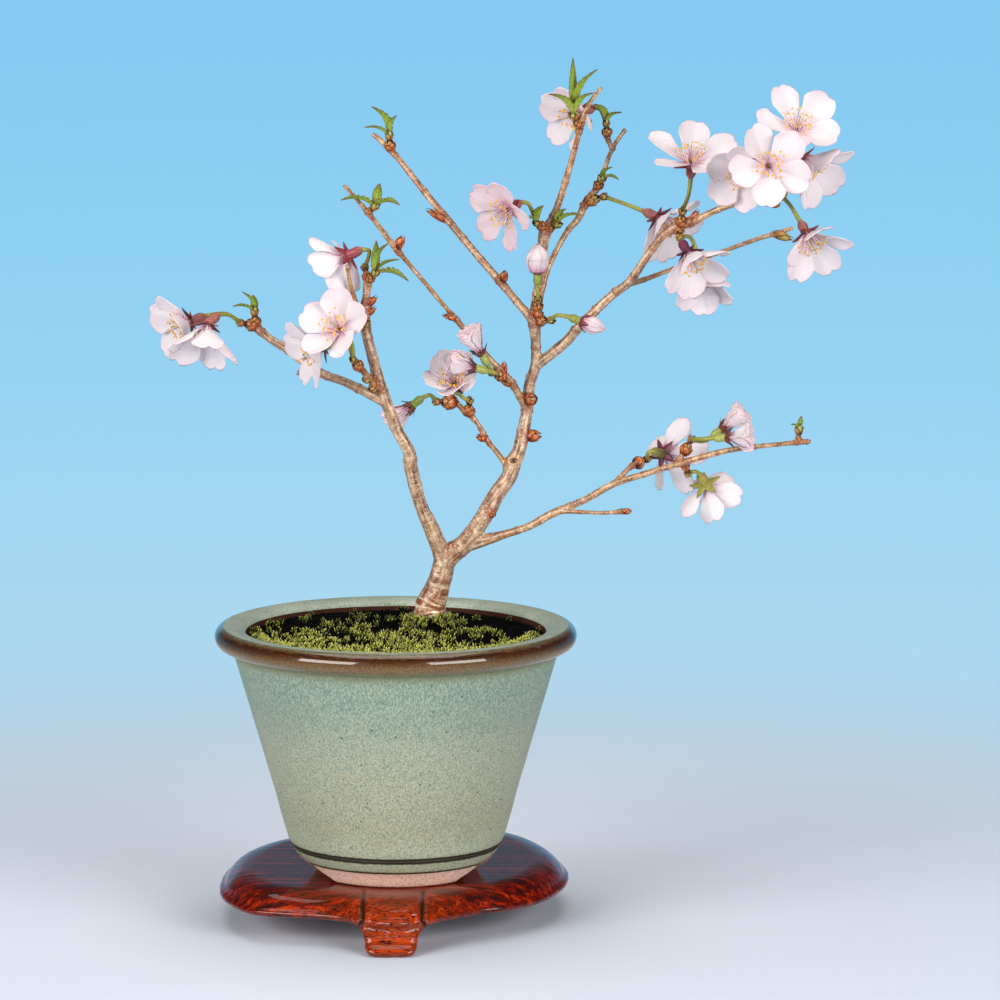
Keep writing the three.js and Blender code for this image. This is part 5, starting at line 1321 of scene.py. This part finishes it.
# %% Directions of one flower
def flower_axes(faces):
    """The way a flower looks, and two directions across it."""
    axis = Vector(faces).normalized()
    upright = Vector((0, 0, 1)) if abs(axis.z) < 0.9 else Vector((0, 1, 0))
    right = upright.cross(axis).normalized()
    return axis, right, axis.cross(right)


def around(right, up, degrees):
    """At an angle round the flower: the way out from its axis, and the way sideways along the ring."""
    turn = math.radians(degrees)
    return right * math.cos(turn) + up * math.sin(turn), up * math.cos(turn) - right * math.sin(turn)


def seeded(seed):
    """The same endless row of numbers between 0 and 1 for the same seed."""
    state = seed
    while True:
        state = state * 16807 % 2147483647
        yield state / 2147483647


# %% [markdown]
# A petal starts from a narrow claw, widens to an oval lobe and ends in a small notch. It cups across its
# width, bends back along its length, folds softly along its veins, and its rim ripples. The rows of its
# grid bow: the last one runs round the whole rounded end, from shoulder to shoulder, so that the rim is
# never square. All of this is one function from (t, s) to a place, and the blade helper lays a grid on
# it.

# %% The surface of one petal
PETAL_THICKNESS = 0.28
PETAL_SHOULDER = 0.4  # share of the length over which the rim rounds from the widest place to the tip


def petal_width(t):
    return 0.13 + 0.76 * (1 - (1 - t) ** 1.8)


def petal_surface(flower, azimuth, lean_more, twist_angle, ripple):
    at, faces, opened, curl_angle, _, length, width_wanted = flower
    axis, right, up = flower_axes(faces)
    outward, sideways = around(right, up, azimuth)
    lean = math.radians(opened + lean_more - curl_angle / 2)
    curl, twist = math.radians(curl_angle), math.radians(twist_angle)
    wide_open = opened > WIDE_OPEN
    fullness = 1.26 if wide_open else 1.45
    notch_depth = 0.085 + 0.025 * math.sin(3 * ripple)

    def surface(t, s):
        side, fall = math.sin(math.pi / 2 * s), 1 - math.cos(math.pi / 2 * s)
        notch = notch_depth * math.exp(-((side + 0.06 * math.sin(ripple)) / 0.2) ** 2)
        reach = length * t * (1 - notch * t ** 8 - PETAL_SHOULDER * fall * t ** 1.3)
        half = curl * t / 2
        bow = 1 if half == 0 else math.sin(half) / half
        away = 0.9 + reach * bow * math.sin(lean + half)
        slope = lean + curl * t
        inward = axis * math.sin(slope) - outward * math.cos(slope)
        across = sideways * math.cos(twist) + inward * math.sin(twist)
        room = away * math.tan(math.pi / PETALS) * (1.12 if wide_open else 1.6) + 0.1
        width = min(width_wanted * fullness * petal_width(t), room)
        cup = (0.26 if wide_open else 0.5) * width * side * side
        wave = (0.42 * math.sin(5.2 * t + ripple) * t * side * side * (1 - 0.4 * t ** 6)
                + 0.16 * math.cos(4 * side + ripple) * t * t)
        crease = -0.3 * math.exp(-(side / 0.25) ** 2) * t * (1 - 0.3 * t)
        middle = Vector(at) + outward * away + axis * (1 + reach * bow * math.cos(lean + half))
        return middle + across * (side * width) + inward * (cup + wave + crease)

    return surface


# %% Open and closed flowers
def corolla(shape, name, draw):
    flower = FLOWERS[name]
    for number in range(PETALS):
        lean_more = 9 * (next(draw) - 0.5)
        twist = 8 + 5 * (next(draw) - 0.5)
        azimuth = flower[4] + 72 * number + 3 * (next(draw) - 0.5)
        surface = petal_surface(flower, azimuth, lean_more, twist + 4, number * 2.1 + flower[4])
        part = new_shape()
        blade(part, surface, 20, 20, PETAL_THICKNESS)
        merge_into(shape, part)


def closed_flower(shape, name):
    """Petals still wrapped round each other, each over the last."""
    at, faces, _, _, _, length, radius = FLOWERS[name]
    axis, right, up = flower_axes(faces)
    for number in range(PETALS):
        start = number * 72

        def surface(t, s):
            belly = 0.42 + 0.62 * math.sin(math.pi * min(1, t * 0.9 + 0.08)) ** 0.8
            egg = radius * belly * (1 - 0.75 * t ** 5)
            outward, _ = around(right, up, start + s * 62 * (1 - 0.35 * t ** 4) + 26 * t)
            return Vector(at) + axis * (0.3 + length * t) + outward * egg * (1.0 + 0.07 * s)

        part = new_shape()
        blade(part, surface, 12, 9, PETAL_THICKNESS)
        merge_into(shape, part)


# %% [markdown]
# Stamens are thin threads that spread out of the throat like a brush, each with a yellow pollen bag at
# its tip. They are tubes with four sides and few steps, because there are hundreds of them. The style in
# the middle is a little longer, greenish, with a flat stigma.

# %% Stamens and style
STAMENS = 24
STAMEN_LENGTH = 7.2
FILAMENT_RADIUS = 0.12
ANTHER_RADIUS = 0.4
FILAMENT_SLOT, ANTHER_SLOT, STYLE_SLOT = 1, 2, 3  # slot 0 holds the petal's skin


def thread(shape, start, middle, end, radius, slot):
    path = smooth_path([(*start, radius), (*middle, radius), (*end, radius * 0.8)], 2)
    before = len(shape.faces)
    tube(shape, path, 4, [k / (len(path) - 1) for k in range(len(path))])
    paint(shape, slot, before)


def pollen_bag(shape, at, heading, radius, slot):
    turn = heading.to_track_quat("X", "Z").to_matrix().to_4x4()
    place = Matrix.Translation(at) @ turn @ Matrix.Diagonal((radius * 0.75, radius, radius * 1.35, 1))
    before = len(shape.faces)
    bmesh.ops.create_icosphere(shape, subdivisions=1, radius=1, matrix=place)
    paint(shape, slot, before)


def stamens(shape, name, draw):
    at, faces, opened, _, roll, _, _ = FLOWERS[name]
    axis, right, up = flower_axes(faces)
    wide_open = opened > WIDE_OPEN
    reach = STAMEN_LENGTH if wide_open else 6.6
    for number in range(STAMENS if wide_open else 12):
        outward, _ = around(right, up, roll + number * 137.5)
        inner = number % 2
        lean = math.radians((34 if wide_open else 9) * (0.35 + 0.65 * next(draw)) + (8 if inner else 0))
        length = reach * (0.72 + 0.32 * next(draw))
        start = Vector(at) + outward * (0.75 + 0.25 * inner) + axis * 0.4
        middle = start + (axis * math.cos(lean * 1.3) + outward * math.sin(lean * 1.3)) * length * 0.5
        end = start + (axis * math.cos(lean) + outward * math.sin(lean)) * length
        thread(shape, start, middle, end, FILAMENT_RADIUS, FILAMENT_SLOT)
        pollen_bag(shape, end, (end - middle).normalized(), ANTHER_RADIUS, ANTHER_SLOT)
    top = Vector(at) + axis * (reach * 1.02)
    thread(shape, Vector(at), Vector(at) + axis * reach * 0.5, top, 0.18, STYLE_SLOT)
    pollen_bag(shape, top, right, 0.36, STYLE_SLOT)


# %% [markdown]
# A fresh cherry petal is matt and a little see-through, so light that falls on its back makes its front
# glow. It is nearly white, with a breath of pink at the very rim and magenta streaks that run out of the
# claw. The oldest flowers have lost most of their streaks. Subsurface scattering with a radius of about
# a millimetre gives the glow.

# %% Cherry petal
petal_skin, tree, shader, places = start_material("cherry_petal")
up_petal = add(tree, "Attribute", attribute_name="along").outputs["Fac"]
over_petal = add(tree, "Attribute", attribute_name="across").outputs["Fac"]
rosy = add(tree, "Attribute", attribute_name="kind").outputs["Fac"]
white = add(tree, "ValToRGB", {"Fac": up_petal},
            stops=[(0.0, "#dfaac1"), (0.12, "#e8cdda"), (0.3, "#eee1ea"), (0.7, "#f0e5ed"),
                   (0.95, "#f1dde7"), (1.0, "#f1d2de")]).outputs["Color"]
pink = add(tree, "ValToRGB", {"Fac": up_petal},
           stops=[(0.0, "#b04a72"), (0.2, "#d5829f"), (0.45, "#e6a9ba"), (0.8, "#e9b4c2"),
                  (1.0, "#dc7f98")]).outputs["Color"]
blushed = add(tree, "Mix", {0: rosy, 6: white, 7: pink}, data_type="RGBA").outputs[2]
fan = add(tree, "CombineXYZ", {"X": over_petal, "Y": rosy, "Z": 0.0})
streaks = add(tree, "TexNoise", {"Vector": fan.outputs[0], "Scale": 5, "Detail": 1}).outputs["Fac"]
streak_mask = add(tree, "MapRange", {"Value": streaks, "From Min": 0.46, "From Max": 0.6, "To Min": 0.1,
                                     "To Max": 1.0}).outputs["Result"]
claw = add(tree, "MapRange", {"Value": up_petal, "From Min": 0.04, "From Max": 0.46, "To Min": 1.0,
                              "To Max": 0}, interpolation_type="SMOOTHSTEP").outputs["Result"]
plain = add(tree, "MapRange", {"Value": rosy, "From Min": -1.0, "From Max": 0.0}).outputs["Result"]
throat = add(tree, "Math", {0: claw, 1: plain}, operation="MULTIPLY").outputs[0]
streak_share = add(tree, "Math", {0: streak_mask, 1: throat}, operation="MULTIPLY").outputs[0]
streaked = add(tree, "Mix", {0: streak_share, 6: blushed, 7: "#ad3f70"}, data_type="RGBA").outputs[2]
rim_away = add(tree, "Math", {0: over_petal}, operation="ABSOLUTE").outputs[0]
rim = add(tree, "MapRange", {"Value": rim_away, "From Min": 0.88, "From Max": 1.0, "To Min": 0.0,
                             "To Max": 0.4}).outputs["Result"]
rimmed = add(tree, "Mix", {0: rim, 6: streaked, 7: "#eebaca"}, data_type="RGBA").outputs[2]
veins = add(tree, "TexNoise", {"Vector": fan.outputs[0], "Scale": 11, "Detail": 2}).outputs["Fac"]
vein_mask = add(tree, "MapRange", {"Value": veins, "From Min": 0.52, "From Max": 0.7, "To Min": 0,
                                   "To Max": 0.2}).outputs["Result"]
veined = add(tree, "Mix", {0: vein_mask, 6: rimmed, 7: "#e8cdd8"}, data_type="RGBA").outputs[2]
fill(shader, {"Base Color": veined, "Roughness": 0.6, "Specular IOR Level": 0.3,
              "Subsurface Weight": 0.35, "Subsurface Radius": (1.0, 0.8, 0.85),
              "Subsurface Scale": 1.2 * MM})
veining = add(tree, "Bump", {"Height": veins, "Distance": 0.15 * MM, "Strength": 0.6}).outputs["Normal"]
tree.links.new(veining, shader.inputs["Normal"])

# %% Thread, pollen and style
thread_skin, tree, shader, _ = start_material("stamen_thread")
up_thread = add(tree, "Attribute", attribute_name="along").outputs["Fac"]
threads = add(tree, "ValToRGB", {"Fac": up_thread},
              stops=[(0.0, "#d692b0"), (0.3, "#f5dde6"), (1.0, "#fdf3f5")]).outputs["Color"]
fill(shader, {"Base Color": threads, "Roughness": 0.45})

pollen_skin, tree, shader, places = start_material("pollen_bag")
dust = add(tree, "TexNoise", {"Vector": places, "Scale": 1 / 0.5, "Detail": 3}).outputs["Fac"]
golden = add(tree, "ValToRGB", {"Fac": dust},
             stops=[(0.3, "#c68a10"), (0.5, "#f0b61c"), (0.7, "#fbd648")]).outputs["Color"]
fill(shader, {"Base Color": golden, "Roughness": 0.7})

style_skin, tree, shader, _ = start_material("style_green")
up_style = add(tree, "Attribute", attribute_name="along").outputs["Fac"]
styles = add(tree, "ValToRGB", {"Fac": up_style},
             stops=[(0.0, "#96a04a"), (0.7, "#a8a452"), (1.0, "#c9b86a")]).outputs["Color"]
fill(shader, {"Base Color": styles, "Roughness": 0.4})

# %% Making the flowers
petal_draw = seeded(20260329)
stamen_draw = seeded(77)
for name, flower in FLOWERS.items():
    bloom_shape = new_shape()
    opened = flower[2] > 0
    if opened:
        corolla(bloom_shape, name, petal_draw)
    else:
        closed_flower(bloom_shape, name)
    mark(bloom_shape, bloom_shape.verts, kind=ROSY.get(name, 0.0))
    if opened:
        inner_shape = new_shape()
        stamens(inner_shape, name, stamen_draw)
        merge_into(bloom_shape, inner_shape)
    bloom = loose_object("petals_" + name, bloom_shape)
    finish_piece(bloom, [petal_skin, thread_skin, pollen_skin, style_skin], "petal", name)

# %% [markdown]
# ## Stalks
# Behind the petals sits the calyx, a small urn that narrows to a neck, with five pointed sepals at its
# mouth. The stalk leads from it to the spur, where a ruff of small bracts hides the joint. The urn and
# the stalk are one tube whose radius swells, and the sepals are blades bent back from its mouth.

# %% How flowers hang together
BENDS = {"bloom_02": (-55, 10, 203.5), "bloom_15": (127.5, -21.5, 248), "bloom_19": (76, 21, 239.5)}
NODDING = {"bloom_02": (-0.75, -0.4, -0.55), "bloom_03": (-0.9, 0.25, -0.35),
           "bloom_19": (0.9, -0.3, -0.35)}
CLUSTERS = {
    "left_tip": ["bloom_01", "bloom_02"], "left_top": ["bloom_03"],
    "left_front": ["bloom_04", "bloom_05"], "centre_low": ["bloom_06"],
    "centre_left": ["bloom_07", "bloom_08"], "upper_mid": ["bloom_09"], "top_right": ["bloom_10"],
    "top_node": ["bloom_11"], "node_right": ["bloom_12"], "right_upper": ["bloom_13"],
    "right_end": ["bloom_14", "bloom_15", "bloom_16", "bloom_17", "bloom_18"],
    "mid_right": ["bloom_19"], "right_lower": ["bloom_20", "bloom_21"], "low_spur": ["bloom_22"],
    "low_upper": ["bloom_23", "bloom_24"], "low_under": ["bloom_25"], "low_left": ["bloom_26"],
}
CALYX_TINTS = {  # colours of the calyx tube and of the sepals, where they aren't the usual dull red
    "bloom_03": ("#a5505a", "#8e3c46"), "bloom_05": ("#7d8a45", "#6f3430"),
    "bloom_06": ("#9aa353", "#6e3a34"), "bloom_07": ("#a3ab58", "#6b3a40"),
    "bloom_08": ("#a9b060", "#6b3a40"), "bloom_11": ("#8f9a48", "#5d3a30"),
    "bloom_12": ("#8f9548", "#7a3340"), "bloom_14": ("#8c7a48", "#74353a"),
    "bloom_20": ("#74304c", "#6a2a48"), "bloom_22": ("#8a8a48", "#6e3046"),
    "bloom_23": ("#a8ae5a", "#7a4438"), "bloom_24": ("#a8ae5a", "#7a4438"),
    "bloom_25": ("#a59a4e", "#9a9a46"), "bloom_26": ("#8a9a48", "#6a3a28"),
}
USUAL_TINTS = ("#a3605a", "#a3585a")
ROOT_CLEARANCE = 1.2
CALYX_LENGTH = 5.4
CALYX_PROFILE = [(0.0, 1.7), (0.12, 1.6), (0.25, 1.5), (0.45, 1.62), (0.65, 1.75), (0.85, 1.35), (1.0, 0.8)]
STALK_THICKNESS = 0.65
SEPAL_LENGTH = 4.6
SEPAL_LEAN = 16  # degrees by which sepals lean out more than the petals that they carry
CLOSED_SEPAL_LEAN = 46


# %% Calyx, sepals and stalk
def sepal(shape, name, number, size, lean, curl_back):
    at, faces, _, _, roll, _, _ = FLOWERS[name]
    axis, right, up = flower_axes(faces)
    outward, sideways = around(right, up, roll + 72 * (number + 0.5))

    def surface(t, s):
        bend = lean * (1 + curl_back * (t - 0.5))
        reach = SEPAL_LENGTH * size * t
        half = 1.35 * size * (1 - t) ** 0.8 * (1 + 0.35 * t) + 0.04
        middle = (Vector(at) + outward * (1.2 * size + reach * math.sin(bend))
                  + axis * (-0.6 + reach * math.cos(bend)))
        lift = outward * -math.cos(bend) + axis * math.sin(bend)
        return middle + sideways * (s * half) + lift * (0.2 * half * s * s)

    blade(shape, surface, 7, 4, 0.22)


def tint(shape, verts, first, second):
    """Writes two colours on the points, so that each flower can have its own."""
    layers = [shape.verts.layers.float_color[name] for name in ("tube", "sepals")]
    for vert in verts:
        vert[layers[0]] = (*linear(first)[:3], 1)
        vert[layers[1]] = (*linear(second)[:3], 1)


def flower_stalk(shape, name, root):
    at, faces, opened = (FLOWERS[name][k] for k in (0, 1, 2))
    size = 1.0 if opened > WIDE_OPEN else 0.85
    throat = Vector(at)
    neck = Vector(NODDING.get(name, faces)).normalized()
    base = throat - neck * (CALYX_LENGTH * size)
    if name in BENDS:
        bend = Vector(BENDS[name])
    else:
        straight_on = base - neck * (0.35 * (base - root).length)
        bend = straight_on.lerp(root, 0.25)
    path = [(*(throat - neck * (depth * CALYX_LENGTH * size)), radius * size)
            for depth, radius in CALYX_PROFILE]
    alongs = [0.32 * depth for depth, _ in CALYX_PROFILE]
    stem = smooth_path([(*base, STALK_THICKNESS + 0.15), (*bend, STALK_THICKNESS),
                        (*root, STALK_THICKNESS + 0.1)], 7)
    path += stem[1:]
    alongs += [0.34 + 0.66 * k / (len(stem) - 1) for k in range(1, len(stem))]
    tube(shape, path, 12, alongs)
    lean = SEPAL_LEAN + opened if opened else CLOSED_SEPAL_LEAN
    for number in range(PETALS):
        before = set(shape.verts)
        sepal(shape, name, number, size, math.radians(lean), 0.1 if opened else -0.6)
        mark(shape, set(shape.verts) - before, kind=1.0)
    tint(shape, shape.verts, *CALYX_TINTS.get(name, USUAL_TINTS))


# %% Skin of calyx and stalk
calyx_skin, tree, shader, places = start_material("calyx_and_stalk")
down = add(tree, "Attribute", attribute_name="along").outputs["Fac"]
is_sepal = add(tree, "Attribute", attribute_name="kind").outputs["Fac"]
tube_tint = add(tree, "Attribute", attribute_name="tube").outputs["Color"]
sepal_tint = add(tree, "Attribute", attribute_name="sepals").outputs["Color"]
stalk_green = add(tree, "ValToRGB", {"Fac": down},
                  stops=[(0.3, "#9a8a48"), (0.45, "#a0a24a"), (0.8, "#9c9a46"),
                         (1.0, "#8a7a3c")]).outputs["Color"]
leave_tube = add(tree, "MapRange", {"Value": down, "From Min": 0.24, "From Max": 0.42}).outputs["Result"]
tube_skin = add(tree, "Mix", {0: leave_tube, 6: tube_tint, 7: stalk_green}, data_type="RGBA").outputs[2]
dark_tip = add(tree, "ValToRGB", {"Fac": down},
               stops=[(0.0, 1.0), (0.6, 0.97), (1.0, 0.75)]).outputs["Color"]
sepal_skin = add(tree, "Mix", {0: 1.0, 6: sepal_tint, 7: dark_tip}, data_type="RGBA",
                 blend_type="MULTIPLY").outputs[2]
skinned = add(tree, "Mix", {0: is_sepal, 6: tube_skin, 7: sepal_skin}, data_type="RGBA").outputs[2]
flecks = add(tree, "TexNoise", {"Vector": places, "Scale": 1 / 0.7, "Detail": 3}).outputs["Fac"]
fleck_shade = add(tree, "ValToRGB", {"Fac": flecks}, stops=[(0.3, 0.65), (0.6, 1.0)]).outputs["Color"]
flecked = add(tree, "Mix", {0: 1.0, 6: skinned, 7: fleck_shade}, data_type="RGBA",
              blend_type="MULTIPLY").outputs[2]
fill(shader, {"Base Color": flecked, "Roughness": 0.42, "Specular IOR Level": 0.4,
              "Subsurface Weight": 0.1, "Subsurface Scale": 0.5 * MM})

# %% [markdown]
# ## Young leaves
# The leaves have only just unfolded: each is still pleated along its side veins and folded at the
# midrib, with a double row of fine teeth on its rim and a bronze tint towards the tip.

# %% Leaf shape
BRACTS = {
    "upper_mid": [(49, 1, 241, 3.2), (44.5, 0, 237, 3.2)],
    "top_right": [(65.5, 18, 273, 3.4), (75, 20, 270, 2.6)],
}
TUFTS = {
    "top_left": [(-8.2, 31, 271, 4.2), (-10.6, 31, 264, 2.4), (0.3, 32, 268, 2.4)],
    "left_twig": [(-17, -30, 246, 3.4), (-4.5, -26, 251, 3.2), (2, -30, 244.5, 4)],
    "left_spur": [(-6, -5, 230, 3), (-2, -8, 229.5, 3.6), (1.5, -2, 223.5, 2.6), (4.5, -8, 217, 4.2)],
    "left_tip": [(-51, 13, 211, 3.4), (-47.5, 17, 209.5, 2.6), (-54, 10, 206.5, 2.4)],
    "top": [(58.5, -4, 290, 2.8), (66.5, -6, 286.5, 3.8), (50.5, -7, 278.5, 3.8), (65.5, -8, 279, 3)],
    "upper_mid": [(56.5, 0, 240, 3), (61.5, -1, 238, 3)],
    "top_right_low": [(72, 19, 252, 2.6), (74, 16, 248, 2.4)],
    "low_tip": [(133.5, -20, 174, 1.8), (130, -22, 171.5, 1.8)],
}
TEETH = 11
SIDE_VEINS = 7


def young_leaf(shape, base, x, y, z, width):
    tip = Vector((x, y, z))
    length = (tip - base).length
    along = (tip - base).normalized()
    upright = Vector((0, 0, 1)) if abs(along.z) < 0.9 else Vector((0, 1, 0))
    sideways = upright.cross(along).normalized()
    face = along.cross(sideways)

    def surface(t, s):
        outline = 0.12 + 0.95 * math.sin(math.pi * t ** 0.85) ** 0.9 * (1 - 0.3 * t)
        tooth = (t * TEETH) % 1.0
        half = width / 2 * outline * (1 + 0.16 * (tooth - 0.5) * abs(s) ** 3)
        pleat = 0.1 * width * math.sin(2 * math.pi * (t * SIDE_VEINS - 0.8 * abs(s))) * abs(s) * (1 - t)
        fold = 0.7 * half * abs(s) + 0.12 * length * math.sin(math.pi * t)
        return base + along * (length * t) + sideways * (half * s) + face * (fold + pleat)

    blade(shape, surface, 34, 8, 0.2)


# %% Young leaf skin
leaf_skin, tree, shader, places = start_material("young_leaf")
up_leaf = add(tree, "Attribute", attribute_name="along").outputs["Fac"]
over_leaf = add(tree, "Attribute", attribute_name="across").outputs["Fac"]
leaf_green = add(tree, "ValToRGB", {"Fac": up_leaf},
                 stops=[(0.0, "#98983f"), (0.35, "#8ca63a"), (0.7, "#7a9834"), (0.9, "#7c7430"),
                        (1.0, "#6e4424")]).outputs["Color"]
side = add(tree, "Math", {0: over_leaf}, operation="ABSOLUTE").outputs[0]
rim = add(tree, "MapRange", {"Value": side, "From Min": 0.78, "From Max": 1, "To Min": 0,
                             "To Max": 0.75}).outputs["Result"]
edged = add(tree, "Mix", {0: rim, 6: leaf_green, 7: "#5e3a20"}, data_type="RGBA").outputs[2]
rib = add(tree, "MapRange", {"Value": side, "From Min": 0.04, "From Max": 0.16, "To Min": 0.6,
                             "To Max": 0}).outputs["Result"]
ribbed = add(tree, "Mix", {0: rib, 6: edged, 7: "#bcc070"}, data_type="RGBA").outputs[2]
vein_phase = add(tree, "Math", {0: up_leaf, 1: SIDE_VEINS}, operation="MULTIPLY").outputs[0]
vein_slant = add(tree, "Math", {0: side, 1: -0.8, 2: vein_phase}, operation="MULTIPLY_ADD").outputs[0]
vein_saw = add(tree, "Math", {0: vein_slant}, operation="FRACT").outputs[0]
vein_line = add(tree, "MapRange", {"Value": vein_saw, "From Min": 0.1, "From Max": 0.25, "To Min": 0.4,
                                   "To Max": 0}).outputs["Result"]
leafy = add(tree, "Mix", {0: vein_line, 6: ribbed, 7: "#aab45c"}, data_type="RGBA").outputs[2]
fill(shader, {"Base Color": leafy, "Roughness": 0.42, "Specular IOR Level": 0.35,
              "Subsurface Weight": 0.15, "Subsurface Scale": 0.6 * MM})
pleats = add(tree, "Bump", {"Height": vein_line, "Distance": 0.15 * MM,
                            "Strength": 0.6}).outputs["Normal"]
tree.links.new(pleats, shader.inputs["Normal"])

# %% Making stalks and leaves
for name, members in CLUSTERS.items():
    root = beyond_spur(name, ROOT_CLEARANCE)
    way = Vector(SPURS[name][1]).normalized()
    cluster_shape = new_shape("tube", "sepals")
    for member in members:
        stalk_shape = new_shape("tube", "sepals")
        flower_stalk(stalk_shape, member, root)
        merge_into(cluster_shape, stalk_shape)
    ruff_shape = new_shape()
    scaly_egg(ruff_shape, root - way * 0.9, way, 3.4, 1.1, 7, 0.35, 0.8)
    paint(ruff_shape, 2)
    merge_into(cluster_shape, ruff_shape)
    for bract in BRACTS.get(name, []):
        bract_shape = new_shape()
        young_leaf(bract_shape, root, *bract)
        paint(bract_shape, 1)
        merge_into(cluster_shape, bract_shape)
    stalks = loose_object("flower_stalks_" + name, cluster_shape)
    finish_piece(stalks, [calyx_skin, leaf_skin, scale_skin], "stalk", "stalks_" + name)

for name, tips in TUFTS.items():
    root = beyond_spur("leaf_" + name, ROOT_CLEARANCE)
    way = Vector(SPURS["leaf_" + name][1]).normalized()
    tuft_shape = new_shape()
    scaly_egg(tuft_shape, root - way, way, 4.5, 1.2, 8, 0.4, 1.0)
    paint(tuft_shape, 1)
    for tip in tips:
        leaf_shape = new_shape()
        young_leaf(leaf_shape, root, *tip)
        merge_into(tuft_shape, leaf_shape)
    tuft = loose_object("young_leaves_" + name, tuft_shape)
    finish_piece(tuft, [leaf_skin, scale_skin], "leaf", "leaves_" + name)

# %% [markdown]
# ## The mesh over the drain hole
# The little plastic grid is hidden under the soil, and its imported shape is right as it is. It only needs
# its material: moulded black polyethylene, slightly waxy.

# %% Drainage mesh
poly, tree, shader, places = start_material("moulded_polyethylene")
haze = add(tree, "TexNoise", {"Vector": places, "Scale": 1 / 2.5, "Detail": 2}).outputs["Fac"]
hazy = add(tree, "ValToRGB", {"Fac": haze}, stops=[(0.3, "#17191c"), (0.7, "#2a2d31")]).outputs["Color"]
fill(shader, {"Base Color": hazy, "Roughness": 0.5})
mesh_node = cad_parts["drainage_mesh"]
for slot in mesh_node.material_slots:
    slot.material = poly
